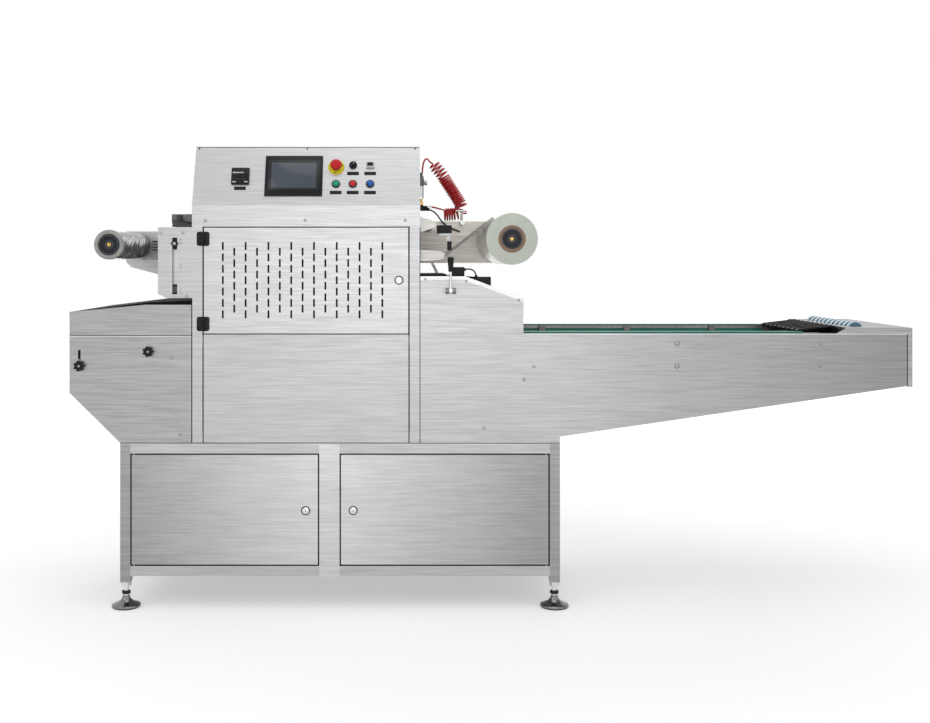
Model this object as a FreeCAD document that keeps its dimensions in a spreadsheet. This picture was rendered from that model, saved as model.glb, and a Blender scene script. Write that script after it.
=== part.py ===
"""Tray sealer with a chain conveyor, built as a parametric FreeCAD document (millimetres).

X runs along the machine towards the discharge end, Y towards the back, Z up.
The origin is on the floor, under the middle of the machine's length and depth.
"""
import FreeCAD
import Part
import Sketcher
import math
import os

V = FreeCAD.Vector

doc = FreeCAD.newDocument("TraySealer")
sheet = doc.addObject("Spreadsheet::Sheet", "Sizes")
sub_parts = []


class Size:
    """A length or angle that knows its number and how the sheet's cells give it."""

    def __init__(self, number, text):
        self.number = number
        self.text = text

    def __add__(self, other):
        return joined(self, "+", other)

    def __radd__(self, other):
        return joined(other, "+", self)

    def __sub__(self, other):
        return joined(self, "-", other)

    def __rsub__(self, other):
        return joined(other, "-", self)

    def __mul__(self, other):
        return joined(self, "*", other)

    def __rmul__(self, other):
        return joined(other, "*", self)

    def __truediv__(self, other):
        return joined(self, "/", other)

    def __rtruediv__(self, other):
        return joined(other, "/", self)

    def __neg__(self):
        return joined(0, "-", self)

    def __float__(self):
        return float(self.number)


def number(value):
    """The number behind a size, or the plain number itself."""
    return float(value)


def text(value):
    """The expression behind a size, or the plain number as text."""
    return value.text if isinstance(value, Size) else f"{value:.6f}"


def joined(left, sign, right):
    """One size made from two by a sum, difference, product or quotient."""
    a, b = number(left), number(right)
    results = {"+": lambda: a + b, "-": lambda: a - b, "*": lambda: a * b, "/": lambda: a / b}
    return Size(results[sign](), f"({text(left)} {sign} {text(right)})")


def tangent(angle):
    return Size(math.tan(math.radians(number(angle))), f"tan({text(angle)})")


def sine(angle):
    return Size(math.sin(math.radians(number(angle))), f"sin({text(angle)})")


def cosine(angle):
    return Size(math.cos(math.radians(number(angle))), f"cos({text(angle)})")


def size(alias, value):
    """A driving dimension: a cell of the sheet with an alias, and its handle here."""
    row = len(size.rows) + 1
    size.rows.append(alias)
    sheet.set(f"A{row}", alias)
    sheet.set(f"B{row}", str(value))
    sheet.setAlias(f"B{row}", alias)
    return Size(value, f"Sizes.{alias}")


size.rows = []

# Overall
depth = size("overall_depth", 600)
front = -depth / 2
back = depth / 2
machine_left = size("machine_left", -1454)
machine_right = size("machine_right", 1455)
lip_top = size("conveyor_top", 945)
beam_y = back - size("beam_inset", 50)

# Sheet metal and tube
tube = size("tube_width", 35)
skin = size("skin_thickness", 3)
door_gap = size("door_gap", 5)
seam = size("panel_seam", 2)
inset = size("fixed_panel_inset", 1)

# Base frame
base_left = size("base_left", -1279)
base_right = size("base_right", 238.6)
post_bottom = size("post_bottom", 88)
rail_bottom = post_bottom + size("rail_above_post_bottom", 22)
base_top = size("base_top", 568)
mid_post_left = size("mid_post_left", -592)

# Feet
foot_radius = size("foot_radius", 50)
foot_rim = size("foot_rim", 8)
foot_height = size("foot_height", 32)
foot_neck = size("foot_neck_radius", 15)
stem_radius = size("stem_radius", 9)
nut_radius = size("nut_radius", 18)
nut_height = size("nut_height", 14)

# Doors
door_depth = size("door_depth", 20)
door_pivot_inset = size("door_pivot_inset", 7)
door_pivot_back = size("door_pivot_back", 4)
pivot_radius = size("pivot_radius", 3)
pivot_clearance = size("pivot_clearance", 0.3)
lock_radius = size("lock_radius", 14)
lock_proud = size("lock_proud", 3)
lock_inset = size("lock_inset", 42)
lock_drop = size("lock_below_door_top", 192)

# Tower
tower_left = size("tower_left", -1030)
tower_right = size("tower_right", -245)
tower_top = size("tower_top", 1316)
vent_bottom = lip_top

# Ventilated door
vent_return = size("vent_door_return", 14)
slot_wide = size("vent_slot_width", 6.5)
slot_tall = size("vent_slot_height", 28)
slot_pitch = size("vent_slot_pitch", 39.3)
slot_columns = size("vent_slot_columns", 15)
slot_rows = size("vent_slot_rows", 7)
slot_first_inset = size("vent_first_column_inset", 65.5)
slot_bottom_gap = size("vent_slots_above_door_bottom", 52)
vent_lock_inset = size("vent_lock_inset", 32)
vent_lock_height = size("vent_lock_above_door_bottom", 184)

tunnel_half = beam_y + size("tunnel_clearance", 6)
tunnel_top = lip_top + size("tunnel_window_height", 95)
film_slot_half = size("film_slot_half_height", 14)

# Control box
box_overhang = size("control_box_overhang", 1.4)
panel_foot = size("control_panel_foot_height", 70)
panel_rise = size("control_panel_rise", 214)
panel_slope = size("control_panel_slope", 22.8)

# Instruments, placed along and up the sloping panel
screen_x = tower_left + size("screen_inset", 246)
screen_up = size("screen_up", 39)
screen_width = size("screen_width", 201)
screen_height = size("screen_height", 155)
bezel_thick = size("bezel_thickness", 6)
glass_side = size("glass_side_margin", 21)
glass_low = size("glass_low_margin", 29)
glass_high = size("glass_high_margin", 29)
glass_sink = size("glass_sink", 1)
meter_x = tower_left + size("meter_inset", 129)
meter_up = size("meter_up", 83)
meter_size = size("meter_size", 63)
meter_thick = size("meter_thickness", 8)
meter_rim = size("meter_rim", 4)
label_width = size("label_width", 41)
label_height = size("label_height", 13)
label_thick = size("label_thickness", 1)
label_drop = size("meter_label_drop", 14)
upper_label_drop = size("upper_label_drop", 31.5)
lower_label_drop = size("lower_label_drop", 33)
first_x = tower_right - size("first_control_inset", 291.3)
second_x = first_x + size("control_pitch", 58.8)
third_x = second_x + size("last_control_pitch", 60)
lower_row = size("button_row_up", 85.6)
upper_row = size("selector_row_up", 158)
upper_row_stop = size("emergency_stop_up", 151)
ring_radius = size("button_ring_radius", 15)
ring_thick = size("button_ring_thickness", 6)
cap_radius = size("button_cap_radius", 10.5)
cap_proud = size("button_cap_proud", 2.5)
cap_seat = size("button_cap_seat", 3.5)
switch_size = size("square_switch_size", 27)
selector_radius = size("selector_radius", 13.5)
selector_stem = size("selector_stem_radius", 8)
selector_thick = size("selector_thickness", 6)
selector_grip = size("selector_grip_width", 7)
selector_rest = size("selector_rest_angle", 45)
estop_disc_radius = size("stop_disc_radius", 29)
estop_collar = size("stop_collar_radius", 14)
estop_collar_height = size("stop_collar_height", 12)
estop_stem = size("stop_stem_radius", 9)
estop_radius = size("stop_head_radius", 20)

# Surface hinges of the ventilated door
hinge_leaf = size("hinge_leaf_thickness", 6)
hinge_width = size("hinge_width", 43)
hinge_height = size("hinge_height", 49)
hinge_pin = size("hinge_pin_radius", 2.5)
knuckle_radius = size("knuckle_radius", 6)
hinge_low_z = vent_bottom + size("low_hinge_rise", 35)
hinge_high_z = tower_top - size("high_hinge_drop", 42.5)

# Left housing
housing_chamfer_left = size("left_chamfer_start_height", 742)
housing_top = lip_top - size("left_housing_drop", 6)
hood_low = housing_top + size("left_hood_mouth_height", 82)
hood_high = hood_low + size("left_hood_rise", 25)
hood_bend = tower_left - size("left_hood_flat_length", 163)
knob_radius = size("star_knob_radius", 19)
knob_depth = size("star_knob_depth", 16)

knob_lobes = size("star_knob_lobes", 7)
first_knob_x = machine_left + size("first_knob_inset", 36)
first_knob_z = housing_top - size("first_knob_drop", 103.4)
second_knob_x = tower_left - size("second_knob_inset", 150.4)
second_knob_z = housing_top - size("second_knob_drop", 54.1)
knob_slot_x = first_knob_x - size("knob_slot_offset", 1.8)
knob_slot_width = size("knob_slot_width", 9)
knob_slot_low = first_knob_z + size("knob_slot_above_knob", 22.4)
knob_slot_high = knob_slot_low + size("knob_slot_length", 32)
cover_thick = size("hood_cover_thickness", 4)
cover_rise = size("hood_cover_rise", 14)

# Slotted plate and waste rewind
slot_plate_left = tower_left - size("slot_plate_width", 119)
slot_plate_bottom = tower_top - size("slot_plate_drop", 246.5)
slot_plate_top = tower_top - seam
slot_plate_thick = size("slot_plate_thickness", 5)
guide_slot_width = size("guide_slot_width", 17)
guide_slot_x = tower_left - size("guide_slot_inset", 61)
guide_slot_low = slot_plate_bottom + size("guide_slot_low_margin", 12.5)
guide_slot_high = slot_plate_top - size("guide_slot_high_margin", 36)
clamp_nut_z = guide_slot_high - size("clamp_nut_below_slot_end", 21)
clamp_nut_radius = size("clamp_nut_radius", 12)
clamp_nut_thick = size("clamp_nut_thickness", 8)
guide_block_deep = size("guide_block_depth", 22)
guide_block_tall = size("guide_block_height", 28)
cylinder_left = tower_left - size("cylinder_reach", 73)
cylinder_back = size("cylinder_setback", 14)
cylinder_deep = size("cylinder_depth", 42)
cylinder_tall = size("cylinder_height", 45)
bearing_radius = size("spindle_bearing_radius", 24)
bearing_length = size("spindle_bearing_length", 20)
rewind_x = tower_left - size("rewind_shaft_reach", 298)
rewind_plate_y = back - size("rewind_plate_inset", 85)
rewind_plate_thick = size("rewind_plate_thickness", 8)
rewind_chamfer = size("rewind_plate_chamfer", 20)
waste_radius = size("waste_roll_radius", 52)
chuck_radius = size("chuck_radius", 36)
chuck_length = size("chuck_length", 60)
chuck_ribs = size("chuck_rib_count", 12)
waste_back = rewind_plate_y - size("waste_roll_to_plate", 35)
drive_clear = size("rewind_drive_clearance", 6)
drive_size = size("rewind_drive_size", 40)

# Supply roll
supply_x = tower_right + size("supply_shaft_reach", 322)
supply_z = tower_top - size("supply_shaft_drop", 42)
supply_radius = size("supply_roll_radius", 90)
core_radius = size("supply_core_radius", 47)
unwind_plate_y = back - size("unwind_plate_inset", 55)
unwind_plate_thick = size("unwind_plate_thickness", 8)
unwind_plate_bottom = supply_z - size("unwind_plate_below_shaft", 86)
unwind_plate_top = supply_z + size("unwind_plate_above_shaft", 77)
roll_front = front + size("roll_setback", 38)
roll_back = unwind_plate_y - size("roll_to_unwind_plate", 17)
spindle_radius = size("spindle_radius", 10)
spindle_clearance = size("spindle_clearance", 0.05)
fit = size("close_fit", 0.3)

unwind_beyond = size("unwind_plate_beyond_shaft", 40)
leg_x = tower_right + size("unwind_leg_inset", 49)
rest_x = tower_right + size("hose_rest_inset", 173)
rest_height = size("hose_rest_height", 42)
rest_forward = size("hose_rest_forward", 74)
rest_stem_radius = size("hose_rest_stem_radius", 5)
rest_foot_radius = size("hose_rest_foot_radius", 9)

# Film and its rollers
film_half = size("film_half_width", 210)
arm_y = -film_half - size("film_to_arm", 26)
arm_thick = size("idler_arm_thickness", 8)
arm_nose = size("idler_arm_nose", 15)
arm_foot = size("idler_arm_foot", 22)
upper_arm_drop = size("upper_arm_half_foot", 27)
lower_arm_drop = size("lower_arm_half_foot", 20)
sensor_x = tower_right + size("sensor_inset", 62)
sensor_y = -film_half - size("sensor_beyond_film", 5)
sensor_z = supply_z + size("sensor_rise", 20)
sensor_length = size("sensor_length", 52)
sensor_deep = size("sensor_depth", 40)
sensor_tall = size("sensor_height", 29)
film = size("film_thickness", 0.5)
idler_radius = size("idler_roller_radius", 14)
idler_axle = size("idler_axle_radius", 6)
upper_idler_x = tower_right + size("upper_idler_inset", 42)
upper_idler_z = supply_z + size("upper_idler_rise", 51)
lower_idler_x = tower_right + size("lower_idler_inset", 73)
lower_idler_z = supply_z - size("lower_idler_drop", 58)
film_z = lower_idler_z - idler_radius - fit
rewind_z = film_z + fit + waste_radius
roll_back_of = {"supply_shaft": roll_back, "waste_shaft": waste_back}

# Conveyor
conveyor_step = size("conveyor_step_height", 591)
end_bottom = size("conveyor_end_bottom", 766)
beam_left = machine_left + size("beam_left_inset", 8)
beam_right = machine_right - size("beam_right_inset", 125)
end_fold = size("end_plate_fold", 16)
beam_bottom = size("conveyor_beam_bottom", 800)
chain_z = lip_top - size("chain_below_lip", 5)
chain_pitch = size("chain_pitch", 12.7)
chain_links = size("chain_straight_links", 200)
chain_height = size("chain_plate_height", 11.8)
chain_width = size("chain_width", 16)
chain_y = beam_y - size("chain_inset", 24.5)
sprocket_teeth = size("sprocket_teeth", 24)
sprocket_x = size("discharge_sprocket_x", 1150)
sprocket_thick = size("sprocket_thickness", 6)
tooth_depth = size("tooth_depth", 4.4)
tooth_tip = size("tooth_tip_above_pitch", 3)
tooth_root = size("tooth_root_width", 5.4)
tooth_crest = size("tooth_crest_width", 2.4)
drive_shaft_radius = size("drive_shaft_radius", 12.5)
guide_top = chain_z + size("guide_above_chain", 10)
guide_ledge = chain_z - size("guide_ledge_drop", 22)
guide_bottom = guide_ledge - size("guide_foot", 10)
guide_lip_y = chain_y - size("guide_lip_inset", 10.5)
guide_ledge_y = guide_lip_y - size("guide_ledge_width", 17)
carrier_thick = size("carrier_thickness", 8)
carrier_links = size("carrier_pitch_links", 26)
carrier_gap = size("carrier_gap", 4)
carrier_count = size("carrier_count", 8)
carrier_first = sprocket_x - chain_links * chain_pitch - size("first_carrier_overhang", 37)
pocket_long = size("tray_pocket_length", 250)
pocket_wide = size("tray_pocket_width", 330)
pocket_corner = size("tray_pocket_corner", 22)
hook_long = size("carrier_hook_length", 24)
hook_width = size("carrier_hook_width", 8)
hook_rise = size("carrier_hook_rise", 4)
hook_pin = size("carrier_hook_pin_radius", 3)
ramp_left = sprocket_x - size("ramp_overlap", 60)
ramp_right = ramp_left + size("ramp_length", 132)
ramp_low = chain_z + size("ramp_above_chain", 13)
ramp_high = ramp_low + size("ramp_rise", 15)
table_top = lip_top + size("end_table_rise", 22)
table_left = ramp_right + size("ramp_to_table", 8)
cheek_left = table_left - size("cheek_slope_length", 40)
end_plate_bottom = size("end_plate_bottom", 763)
roller_x = table_left + size("ribbed_roller_inset", 62)
roller_z = table_top - size("ribbed_roller_drop", 12)
roller_radius = size("ribbed_roller_radius", 28)
roller_axle = size("ribbed_roller_axle_radius", 8)
bracket_thick = size("roller_bracket_thickness", 5)
rib_count = size("roller_groove_count", 7)
rib_width = size("roller_groove_width", 5)
rib_depth = size("roller_groove_depth", 3)
rib_margin = size("roller_rib_margin", 12)

# Air service
regulator_y = back - size("regulator_inset", 90)
regulator_deep = size("regulator_depth", 24)
regulator_pipe = size("regulator_pipe_offset", 13)
regulator_low = tower_top + size("regulator_rise", 120)
regulator_high = regulator_low + size("regulator_height", 98)
upper_fitting_z = regulator_low - size("upper_fitting_drop", 30.5)
lower_fitting_z = upper_fitting_z - size("fitting_pitch", 8.5)
coil_diameter = size("red_coil_diameter", 40)
red_hose_diameter = size("red_hose_diameter", 6.5)
black_hose_diameter = size("black_hose_diameter", 6)
switch_cable_diameter = size("switch_cable_diameter", 5)

# Right hood
hood_right = tower_right + size("right_hood_length", 357.6)
hood_flat = tower_right + size("right_hood_flat_length", 156)
hood_top_z = lip_top + size("right_hood_height", 186)
hood_end_z = hood_top_z - size("right_hood_slope_drop", 75)
hood_lip = size("right_hood_lip", 13)
lever_x = tower_right + size("lever_inset", 106)
lever_y = front - size("lever_setout", 16)
lever_z = hood_top_z - size("lever_drop", 37)
lever_hub = size("lever_hub_radius", 9)
lever_width = size("lever_hub_width", 12)
lever_side = size("lever_lug_width", 12)
lever_pin = size("lever_pin_radius", 4)
lever_rod = size("lever_rod_radius", 3.5)
lever_reach = size("lever_reach", 117)
grip_radius = size("lever_grip_radius", 11)
grip_length = size("lever_grip_length", 51)
switch_x = tower_right + size("switch_inset", 109)
switch_y = front + size("switch_setback", 30)
switch_long = size("switch_length", 47)
switch_deep = size("switch_depth", 36)
switch_tall = size("switch_height", 32)
gasket_gap = size("gasket_to_switch", 12)
gasket_thick = size("gasket_thickness", 6)
wedge_start = size("switch_wedge_start", 6)
wedge_long = size("switch_wedge_length", 86)


def bind(item, sizes):
    """Tie properties of an object to sizes of the sheet."""
    for path, value in sizes.items():
        if isinstance(value, Size):
            item.setExpression(path, value.text)
        else:
            item.setExpression(path, text(value))


def place(item, x=0, y=0, z=0):
    bind(item, {"Placement.Base.x": x, "Placement.Base.y": y, "Placement.Base.z": z})
    return item


def block(name, x0, x1, y0, y1, z0, z1):
    """A box between two limits along each axis."""
    item = doc.addObject("Part::Box", name)
    bind(item, {"Length": x1 - x0, "Width": y1 - y0, "Height": z1 - z0})
    return place(item, x0, y0, z0)


TURNS = {
    "X": FreeCAD.Rotation(V(0, 1, 0), 90),
    "Y": FreeCAD.Rotation(V(1, 0, 0), -90),
    "Z": FreeCAD.Rotation(),
}


def bar(name, axis, radius, length, x, y, z):
    """A round bar that starts at a point and runs the positive way along an axis."""
    item = doc.addObject("Part::Cylinder", name)
    item.Placement.Rotation = TURNS[axis]
    bind(item, {"Radius": radius, "Height": length})
    return place(item, x, y, z)


def joined_parts(name, *items):
    item = doc.addObject("Part::MultiFuse", name)
    item.Shapes = list(items)
    item.Refine = True
    return item


def grouped(name, *items):
    """Solids that don't touch, kept as one sub-part."""
    item = doc.addObject("Part::Compound", name)
    item.Links = list(items)
    return item


def cut(name, base, *tools):
    item = doc.addObject("Part::Cut", name)
    item.Base = base
    item.Tool = tools[0] if len(tools) == 1 else joined_parts(name + "_tools", *tools)
    item.Refine = True
    return item


def mirrored(name, source):
    """The twin of a piece on the machine's other side, front to back."""
    item = doc.addObject("Part::Mirroring", name)
    item.Source = source
    item.Base = V(0, 0, 0)
    item.Normal = V(0, 1, 0)
    return item


def both_sides(name, source):
    return grouped(name, source, mirrored(name + "_rear", source))


def plane_of(body, role):
    return next(item for item in body.Origin.OriginFeatures if item.Role == role)


def outline(body, name, plane, points):
    """A closed sketch of straight lines whose corners follow the sheet."""
    sketch = body.newObject("Sketcher::SketchObject", name)
    sketch.AttachmentSupport = (plane_of(body, plane), "")
    sketch.MapMode = "FlatFace"
    corners = [V(number(a), number(b), 0) for a, b in points]
    for index, corner in enumerate(corners):
        sketch.addGeometry(Part.LineSegment(corner, corners[(index + 1) % len(corners)]), False)
    for index in range(len(corners)):
        following = (index + 1) % len(corners)
        sketch.addConstraint(Sketcher.Constraint("Coincident", index, 2, following, 1))
    for index, (across, up) in enumerate(points):
        for kind, value in (("DistanceX", across), ("DistanceY", up)):
            made = sketch.addConstraint(Sketcher.Constraint(kind, -1, 1, index, 1, number(value)))
            if isinstance(value, Size):
                sketch.renameConstraint(made, f"{kind}{index}")
                sketch.setExpression(f"Constraints.{kind}{index}", value.text)
    return sketch


def padded(name, plane, points, thickness):
    body = doc.addObject("PartDesign::Body", name)
    pad = body.newObject("PartDesign::Pad", name + "_pad")
    pad.Profile = outline(body, name + "_outline", plane, points)
    bind(pad, {"Length": thickness})
    return body


def plate(name, points, y, thickness):
    """A plate seen from the front: (x, z) corners, from y backwards by its thickness."""
    return place(padded(name, "XZ_Plane", points, thickness), 0, y + thickness, 0)


def side_plate(name, points, x, thickness):
    """A plate seen from the end: (y, z) corners, from x to the right."""
    return place(padded(name, "YZ_Plane", points, thickness), x, 0, 0)


def flat_plate(name, points, z, thickness):
    """A plate seen from above: (x, y) corners, from z upwards."""
    return place(padded(name, "XY_Plane", points, thickness), 0, 0, z)


def turned(name, axis, points, x, y, z):
    """A turned piece: (radius, height) corners, its axis along X, Y or Z from a point."""
    body = doc.addObject("PartDesign::Body", name)
    turn = body.newObject("PartDesign::Revolution", name + "_turn")
    profile = outline(body, name + "_outline", "XZ_Plane", points)
    turn.Profile = profile
    turn.ReferenceAxis = (profile, ["V_Axis"])
    turn.Angle = 360
    body.Placement.Rotation = TURNS[axis]
    return place(body, x, y, z)


def polar(body, name, feature, count, axis_role="Z_Axis"):
    """Repeat a feature of a body around one of its own axes."""
    pattern = body.newObject("PartDesign::PolarPattern", name)
    pattern.Originals = [feature]
    pattern.Axis = (plane_of(body, axis_role), [""])
    pattern.Angle = 360
    bind(pattern, {"Occurrences": count})
    body.Tip = pattern
    return pattern


def sub_part(label, item):
    """Name a finished sub-part; its label is its node and file name."""
    item.Label = label
    sub_parts.append(item)
    return item


def base_posts():
    """Corner posts and the double posts between the two bays."""
    corner_left = block("post_left", base_left, base_left + tube, front, front + tube, post_bottom,
                        base_top)
    corner_right = block(
        "post_right", base_right - tube, base_right, front, front + tube, post_bottom, base_top)
    middle = block("post_middle", mid_post_left, mid_post_left + 2 * tube,
                   front, front + tube, rail_bottom, base_top)
    row = grouped("front_posts", corner_left, middle, corner_right)
    sub_part("base_posts", both_sides("base_posts", row))


def base_rails():
    """Rails between the posts, low and high, along the machine and across it."""
    bays = {
        "left": (base_left + tube, mid_post_left),
        "right": (mid_post_left + 2 * tube, base_right - tube),
    }
    levels = {"low": rail_bottom, "high": base_top - tube}
    long_rails = []
    cross_rails = []
    for level, z in levels.items():
        for side, (x0, x1) in bays.items():
            long_rails.append(block(f"rail_{side}_{level}", x0, x1, front, front + tube, z, z + tube))
        for side, x in (("left", base_left), ("right", base_right - tube)):
            cross_rails.append(
                block(f"cross_{side}_{level}", x, x + tube, front + tube, back - tube, z, z + tube))
    sub_part("base_rails", both_sides("base_rails", grouped("front_rails", *long_rails)))
    sub_part("base_cross_rails", grouped("base_cross_rails", *cross_rails))


def base_skins():
    """Sheets that close the base: rear, ends, floor and deck."""
    low = rail_bottom + tube
    high = base_top - tube
    left = base_left + tube
    right = base_right - tube
    rear_left = block("rear_sheet_left", left, mid_post_left, back - inset - skin, back - inset, low, high)
    rear_right = block("rear_sheet_right", mid_post_left + 2 * tube, right,
                       back - inset - skin, back - inset, low, high)
    end_left = block("end_sheet_left", base_left + inset, base_left + inset + skin,
                     front + tube, back - tube, low, high)
    end_right = block("end_sheet_right", base_right - inset - skin, base_right - inset,
                      front + tube, back - tube, low, high)
    floor = block("floor_sheet", left, right, front + tube, back - tube, low - skin, low)
    deck = block("deck_sheet", left, right, front + tube, back - tube, base_top - skin, base_top)
    sub_part("base_skins", grouped("base_skins", rear_left, rear_right, end_left, end_right, floor, deck))


def feet():
    """Levelling feet under the corner posts: rubber-soled discs and threaded stems with lock nuts."""
    centre_left = base_left + tube / 2
    centre_right = base_right - tube / 2
    centre_y = front + tube / 2
    profile = [(0, 0), (foot_radius, 0), (foot_radius, foot_rim), (foot_neck, foot_height), (0,
                                                                                             foot_height)]
    discs = []
    stems = []
    for side, x in (("left", centre_left), ("right", centre_right)):
        discs.append(turned(f"foot_{side}", "Z", profile, x, centre_y, 0))
        stem = bar(f"stem_{side}", "Z", stem_radius, post_bottom - foot_height, x, centre_y, foot_height)
        nut = doc.addObject("Part::Prism", f"nut_{side}")
        nut.Polygon = 6
        bind(nut, {"Circumradius": nut_radius, "Height": nut_height})
        place(nut, x, centre_y, post_bottom - nut_height)
        stems.append(joined_parts(f"foot_stem_{side}", stem, nut))
    sub_part("foot_pads", both_sides("foot_pads", grouped("front_pads", *discs)))
    sub_part("foot_stems", both_sides("foot_stems", grouped("front_stems", *stems)))


def pan(name, x0, x1, z0, z1, deep):
    """A door skin folded back around its edges."""
    outer = block(name + "_outer", x0, x1, front, front + deep, z0, z1)
    inner = block(name + "_inner", x0 + skin, x1 - skin, front + skin, front + deep, z0 + skin, z1 - skin)
    return cut(name, outer, inner)


def cam_lock(name, x, z):
    """A quarter-turn lock: a round head on the door's face and its barrel behind."""
    head = bar(name + "_head", "Y", lock_radius, lock_proud, x, front - lock_proud, z)
    barrel = bar(name + "_barrel", "Y", lock_radius - lock_proud, door_depth, x, front, z)
    return joined_parts(name, head, barrel)


def base_door(side, x0, x1, pivot_x, lock_x):
    low = rail_bottom + tube
    high = base_top - tube
    bottom = low + door_gap
    top = high - door_gap
    skin_pan = pan(f"door_pan_{side}", x0, x1, bottom, top, door_depth)
    reach = door_gap - pivot_clearance
    pins = []
    for level, z in (("low", low + pivot_clearance), ("high", top - skin)):
        pins.append(bar(f"pivot_{level}_{side}", "Z", pivot_radius, reach + skin,
                        pivot_x, front + door_pivot_back, z))
    lock = cam_lock(f"door_lock_{side}", lock_x, top - lock_drop)
    sub_part(f"base_door_{side}", joined_parts(f"base_door_{side}", skin_pan, lock, *pins))


def base_doors():
    left_x0 = base_left + tube + door_gap
    left_x1 = mid_post_left - door_gap
    right_x0 = mid_post_left + 2 * tube + door_gap
    right_x1 = base_right - tube - door_gap
    base_door("left", left_x0, left_x1, left_x0 + door_pivot_inset, left_x1 - lock_inset)
    base_door("right", right_x0, right_x1, right_x1 - door_pivot_inset, right_x0 + lock_inset)


def tower_frame():
    """The sealing tower's four posts on the deck."""
    left = block("tower_post_left", tower_left, tower_left + tube, front, front + tube, base_top, tower_top)
    right = block("tower_post_right", tower_right - tube, tower_right, front, front + tube,
                  base_top, tower_top)
    sub_part("tower_posts", both_sides("tower_posts", grouped("front_tower_posts", left, right)))


def tower_panels():
    """Fixed sheets: low at the front, low and high at the rear, and the two ends with their windows."""
    x0 = tower_left + tube
    x1 = tower_right - tube
    rails = []
    for level, z in (("low", base_top), ("middle", vent_bottom - door_gap - tube)):
        rails.append(block(f"tower_rail_{level}", x0, x1, front + inset + skin,
                           front + tube - seam, z, z + tube))
    low_sheet = block("low_sheet_front", x0 + seam, x1 - seam, front + inset, front + inset + skin,
                      base_top + seam, vent_bottom - seam)
    low_front = joined_parts("low_panel_front", low_sheet, *rails)
    low_rear = mirrored("low_panel_rear", low_front)
    high_rear = block("high_sheet_rear", x0, x1, back - inset - skin, back - inset,
                      vent_bottom, tower_top)
    sub_part("tower_panels", grouped("tower_panels", low_front, low_rear, high_rear))
    ends = []
    for side, x in (("left", tower_left + inset), ("right", tower_right - inset - skin)):
        sheet_end = block(f"end_{side}", x, x + skin, front + tube, back - tube, base_top, tower_top)
        tunnel = block(f"tunnel_{side}", x - skin, x + 2 * skin, -tunnel_half, tunnel_half,
                       beam_bottom - door_gap, tunnel_top)
        film_slot = block(f"film_slot_{side}", x - skin, x + 2 * skin, -film_half - door_gap,
                          film_half + door_gap, film_z - film_slot_half, film_z + film_slot_half)
        ends.append(cut(f"tower_end_{side}", sheet_end, tunnel, film_slot))
    sub_part("tower_side_panels", grouped("tower_side_panels", *ends))


def vent_door():
    """The upper door: a folded pan with staggered rows of slots, and its lock."""
    x0 = tower_left + tube + door_gap
    x1 = tower_right - tube - door_gap
    z0 = vent_bottom + seam
    z1 = tower_top - seam - seam
    body = doc.addObject("PartDesign::Body", "vent_sheet")
    pad = body.newObject("PartDesign::Pad", "vent_sheet_pad")
    pad.Profile = outline(body, "vent_sheet_outline", "XZ_Plane", [(x0, z0), (x1, z0), (x1, z1), (x0, z1)])
    bind(pad, {"Length": skin})
    doc.recompute()
    columns = {
        "long": (x0 + slot_first_inset, z0 + slot_bottom_gap, slot_rows, (slot_columns + 1) / 2),
        "short": (x0 + slot_first_inset + slot_pitch, z0 + slot_bottom_gap + slot_pitch / 2,
                  slot_rows - 1, (slot_columns - 1) / 2),
    }
    for kind, (x, z, rows, count) in columns.items():
        slot_column(body, kind, x, z, rows, count)
    place(body, 0, front + skin, 0)
    folds = []
    inner = front + vent_return
    folds.append(block("vent_fold_left", x0, x0 + skin, front + skin, inner, z0, z1))
    folds.append(block("vent_fold_right", x1 - skin, x1, front + skin, inner, z0, z1))
    folds.append(block("vent_fold_low", x0, x1, front + skin, inner, z0, z0 + skin))
    folds.append(block("vent_fold_high", x0, x1, front + skin, inner, z1 - skin, z1))
    lock = cam_lock("vent_lock", x1 - vent_lock_inset, z0 + vent_lock_height)
    sub_part("vent_door", joined_parts("vent_door", body, lock, *folds))


def slot_column(body, kind, x, z, rows, count):
    """One slot with clipped corners, repeated up a column and then across every other column."""
    half = slot_wide / 2
    clip = half * 0.6
    corners = [
        (x - half + clip, z), (x + half - clip, z), (x + half, z + clip), (x + half, z + slot_tall - clip),
        (x + half - clip, z + slot_tall), (x - half + clip, z + slot_tall),
        (x - half, z + slot_tall - clip), (x - half, z + clip),
    ]
    pocket = body.newObject("PartDesign::Pocket", f"slot_{kind}")
    pocket.Profile = outline(body, f"slot_{kind}_outline", "XZ_Plane", corners)
    pocket.Midplane = True
    bind(pocket, {"Length": 4 * skin})
    up = body.newObject("PartDesign::MultiTransform", f"slots_{kind}")
    up.Originals = [pocket]
    rise = body.newObject("PartDesign::LinearPattern", f"rows_{kind}")
    rise.Direction = (plane_of(body, "Z_Axis"), [""])
    bind(rise, {"Length": (rows - 1) * slot_pitch, "Occurrences": rows})
    across = body.newObject("PartDesign::LinearPattern", f"columns_{kind}")
    across.Direction = (plane_of(body, "X_Axis"), [""])
    bind(across, {"Length": (count - 1) * 2 * slot_pitch, "Occurrences": count})
    up.Transformations = [rise, across]
    body.Tip = up


def control_box():
    """A sheet-metal box on the tower, open below, with a sloping instrument panel."""
    x0 = tower_left - box_overhang
    x1 = tower_right + box_overhang
    bend = tower_top + panel_foot
    crest = bend + panel_rise
    lean = panel_rise * tangent(panel_slope)
    outer = side_plate("box_outer", [
        (front, tower_top), (back, tower_top), (back, crest), (front + lean, crest), (front, bend),
    ], x0, x1 - x0)
    inner = side_plate("box_inner", [
        (front + skin, tower_top - skin), (back - skin, tower_top - skin), (back - skin, crest - skin),
        (front + skin + lean, crest - skin), (front + skin, bend),
    ], x0 + skin, x1 - x0 - 2 * skin)
    sub_part("control_box", cut("control_box", outer, inner))


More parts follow.
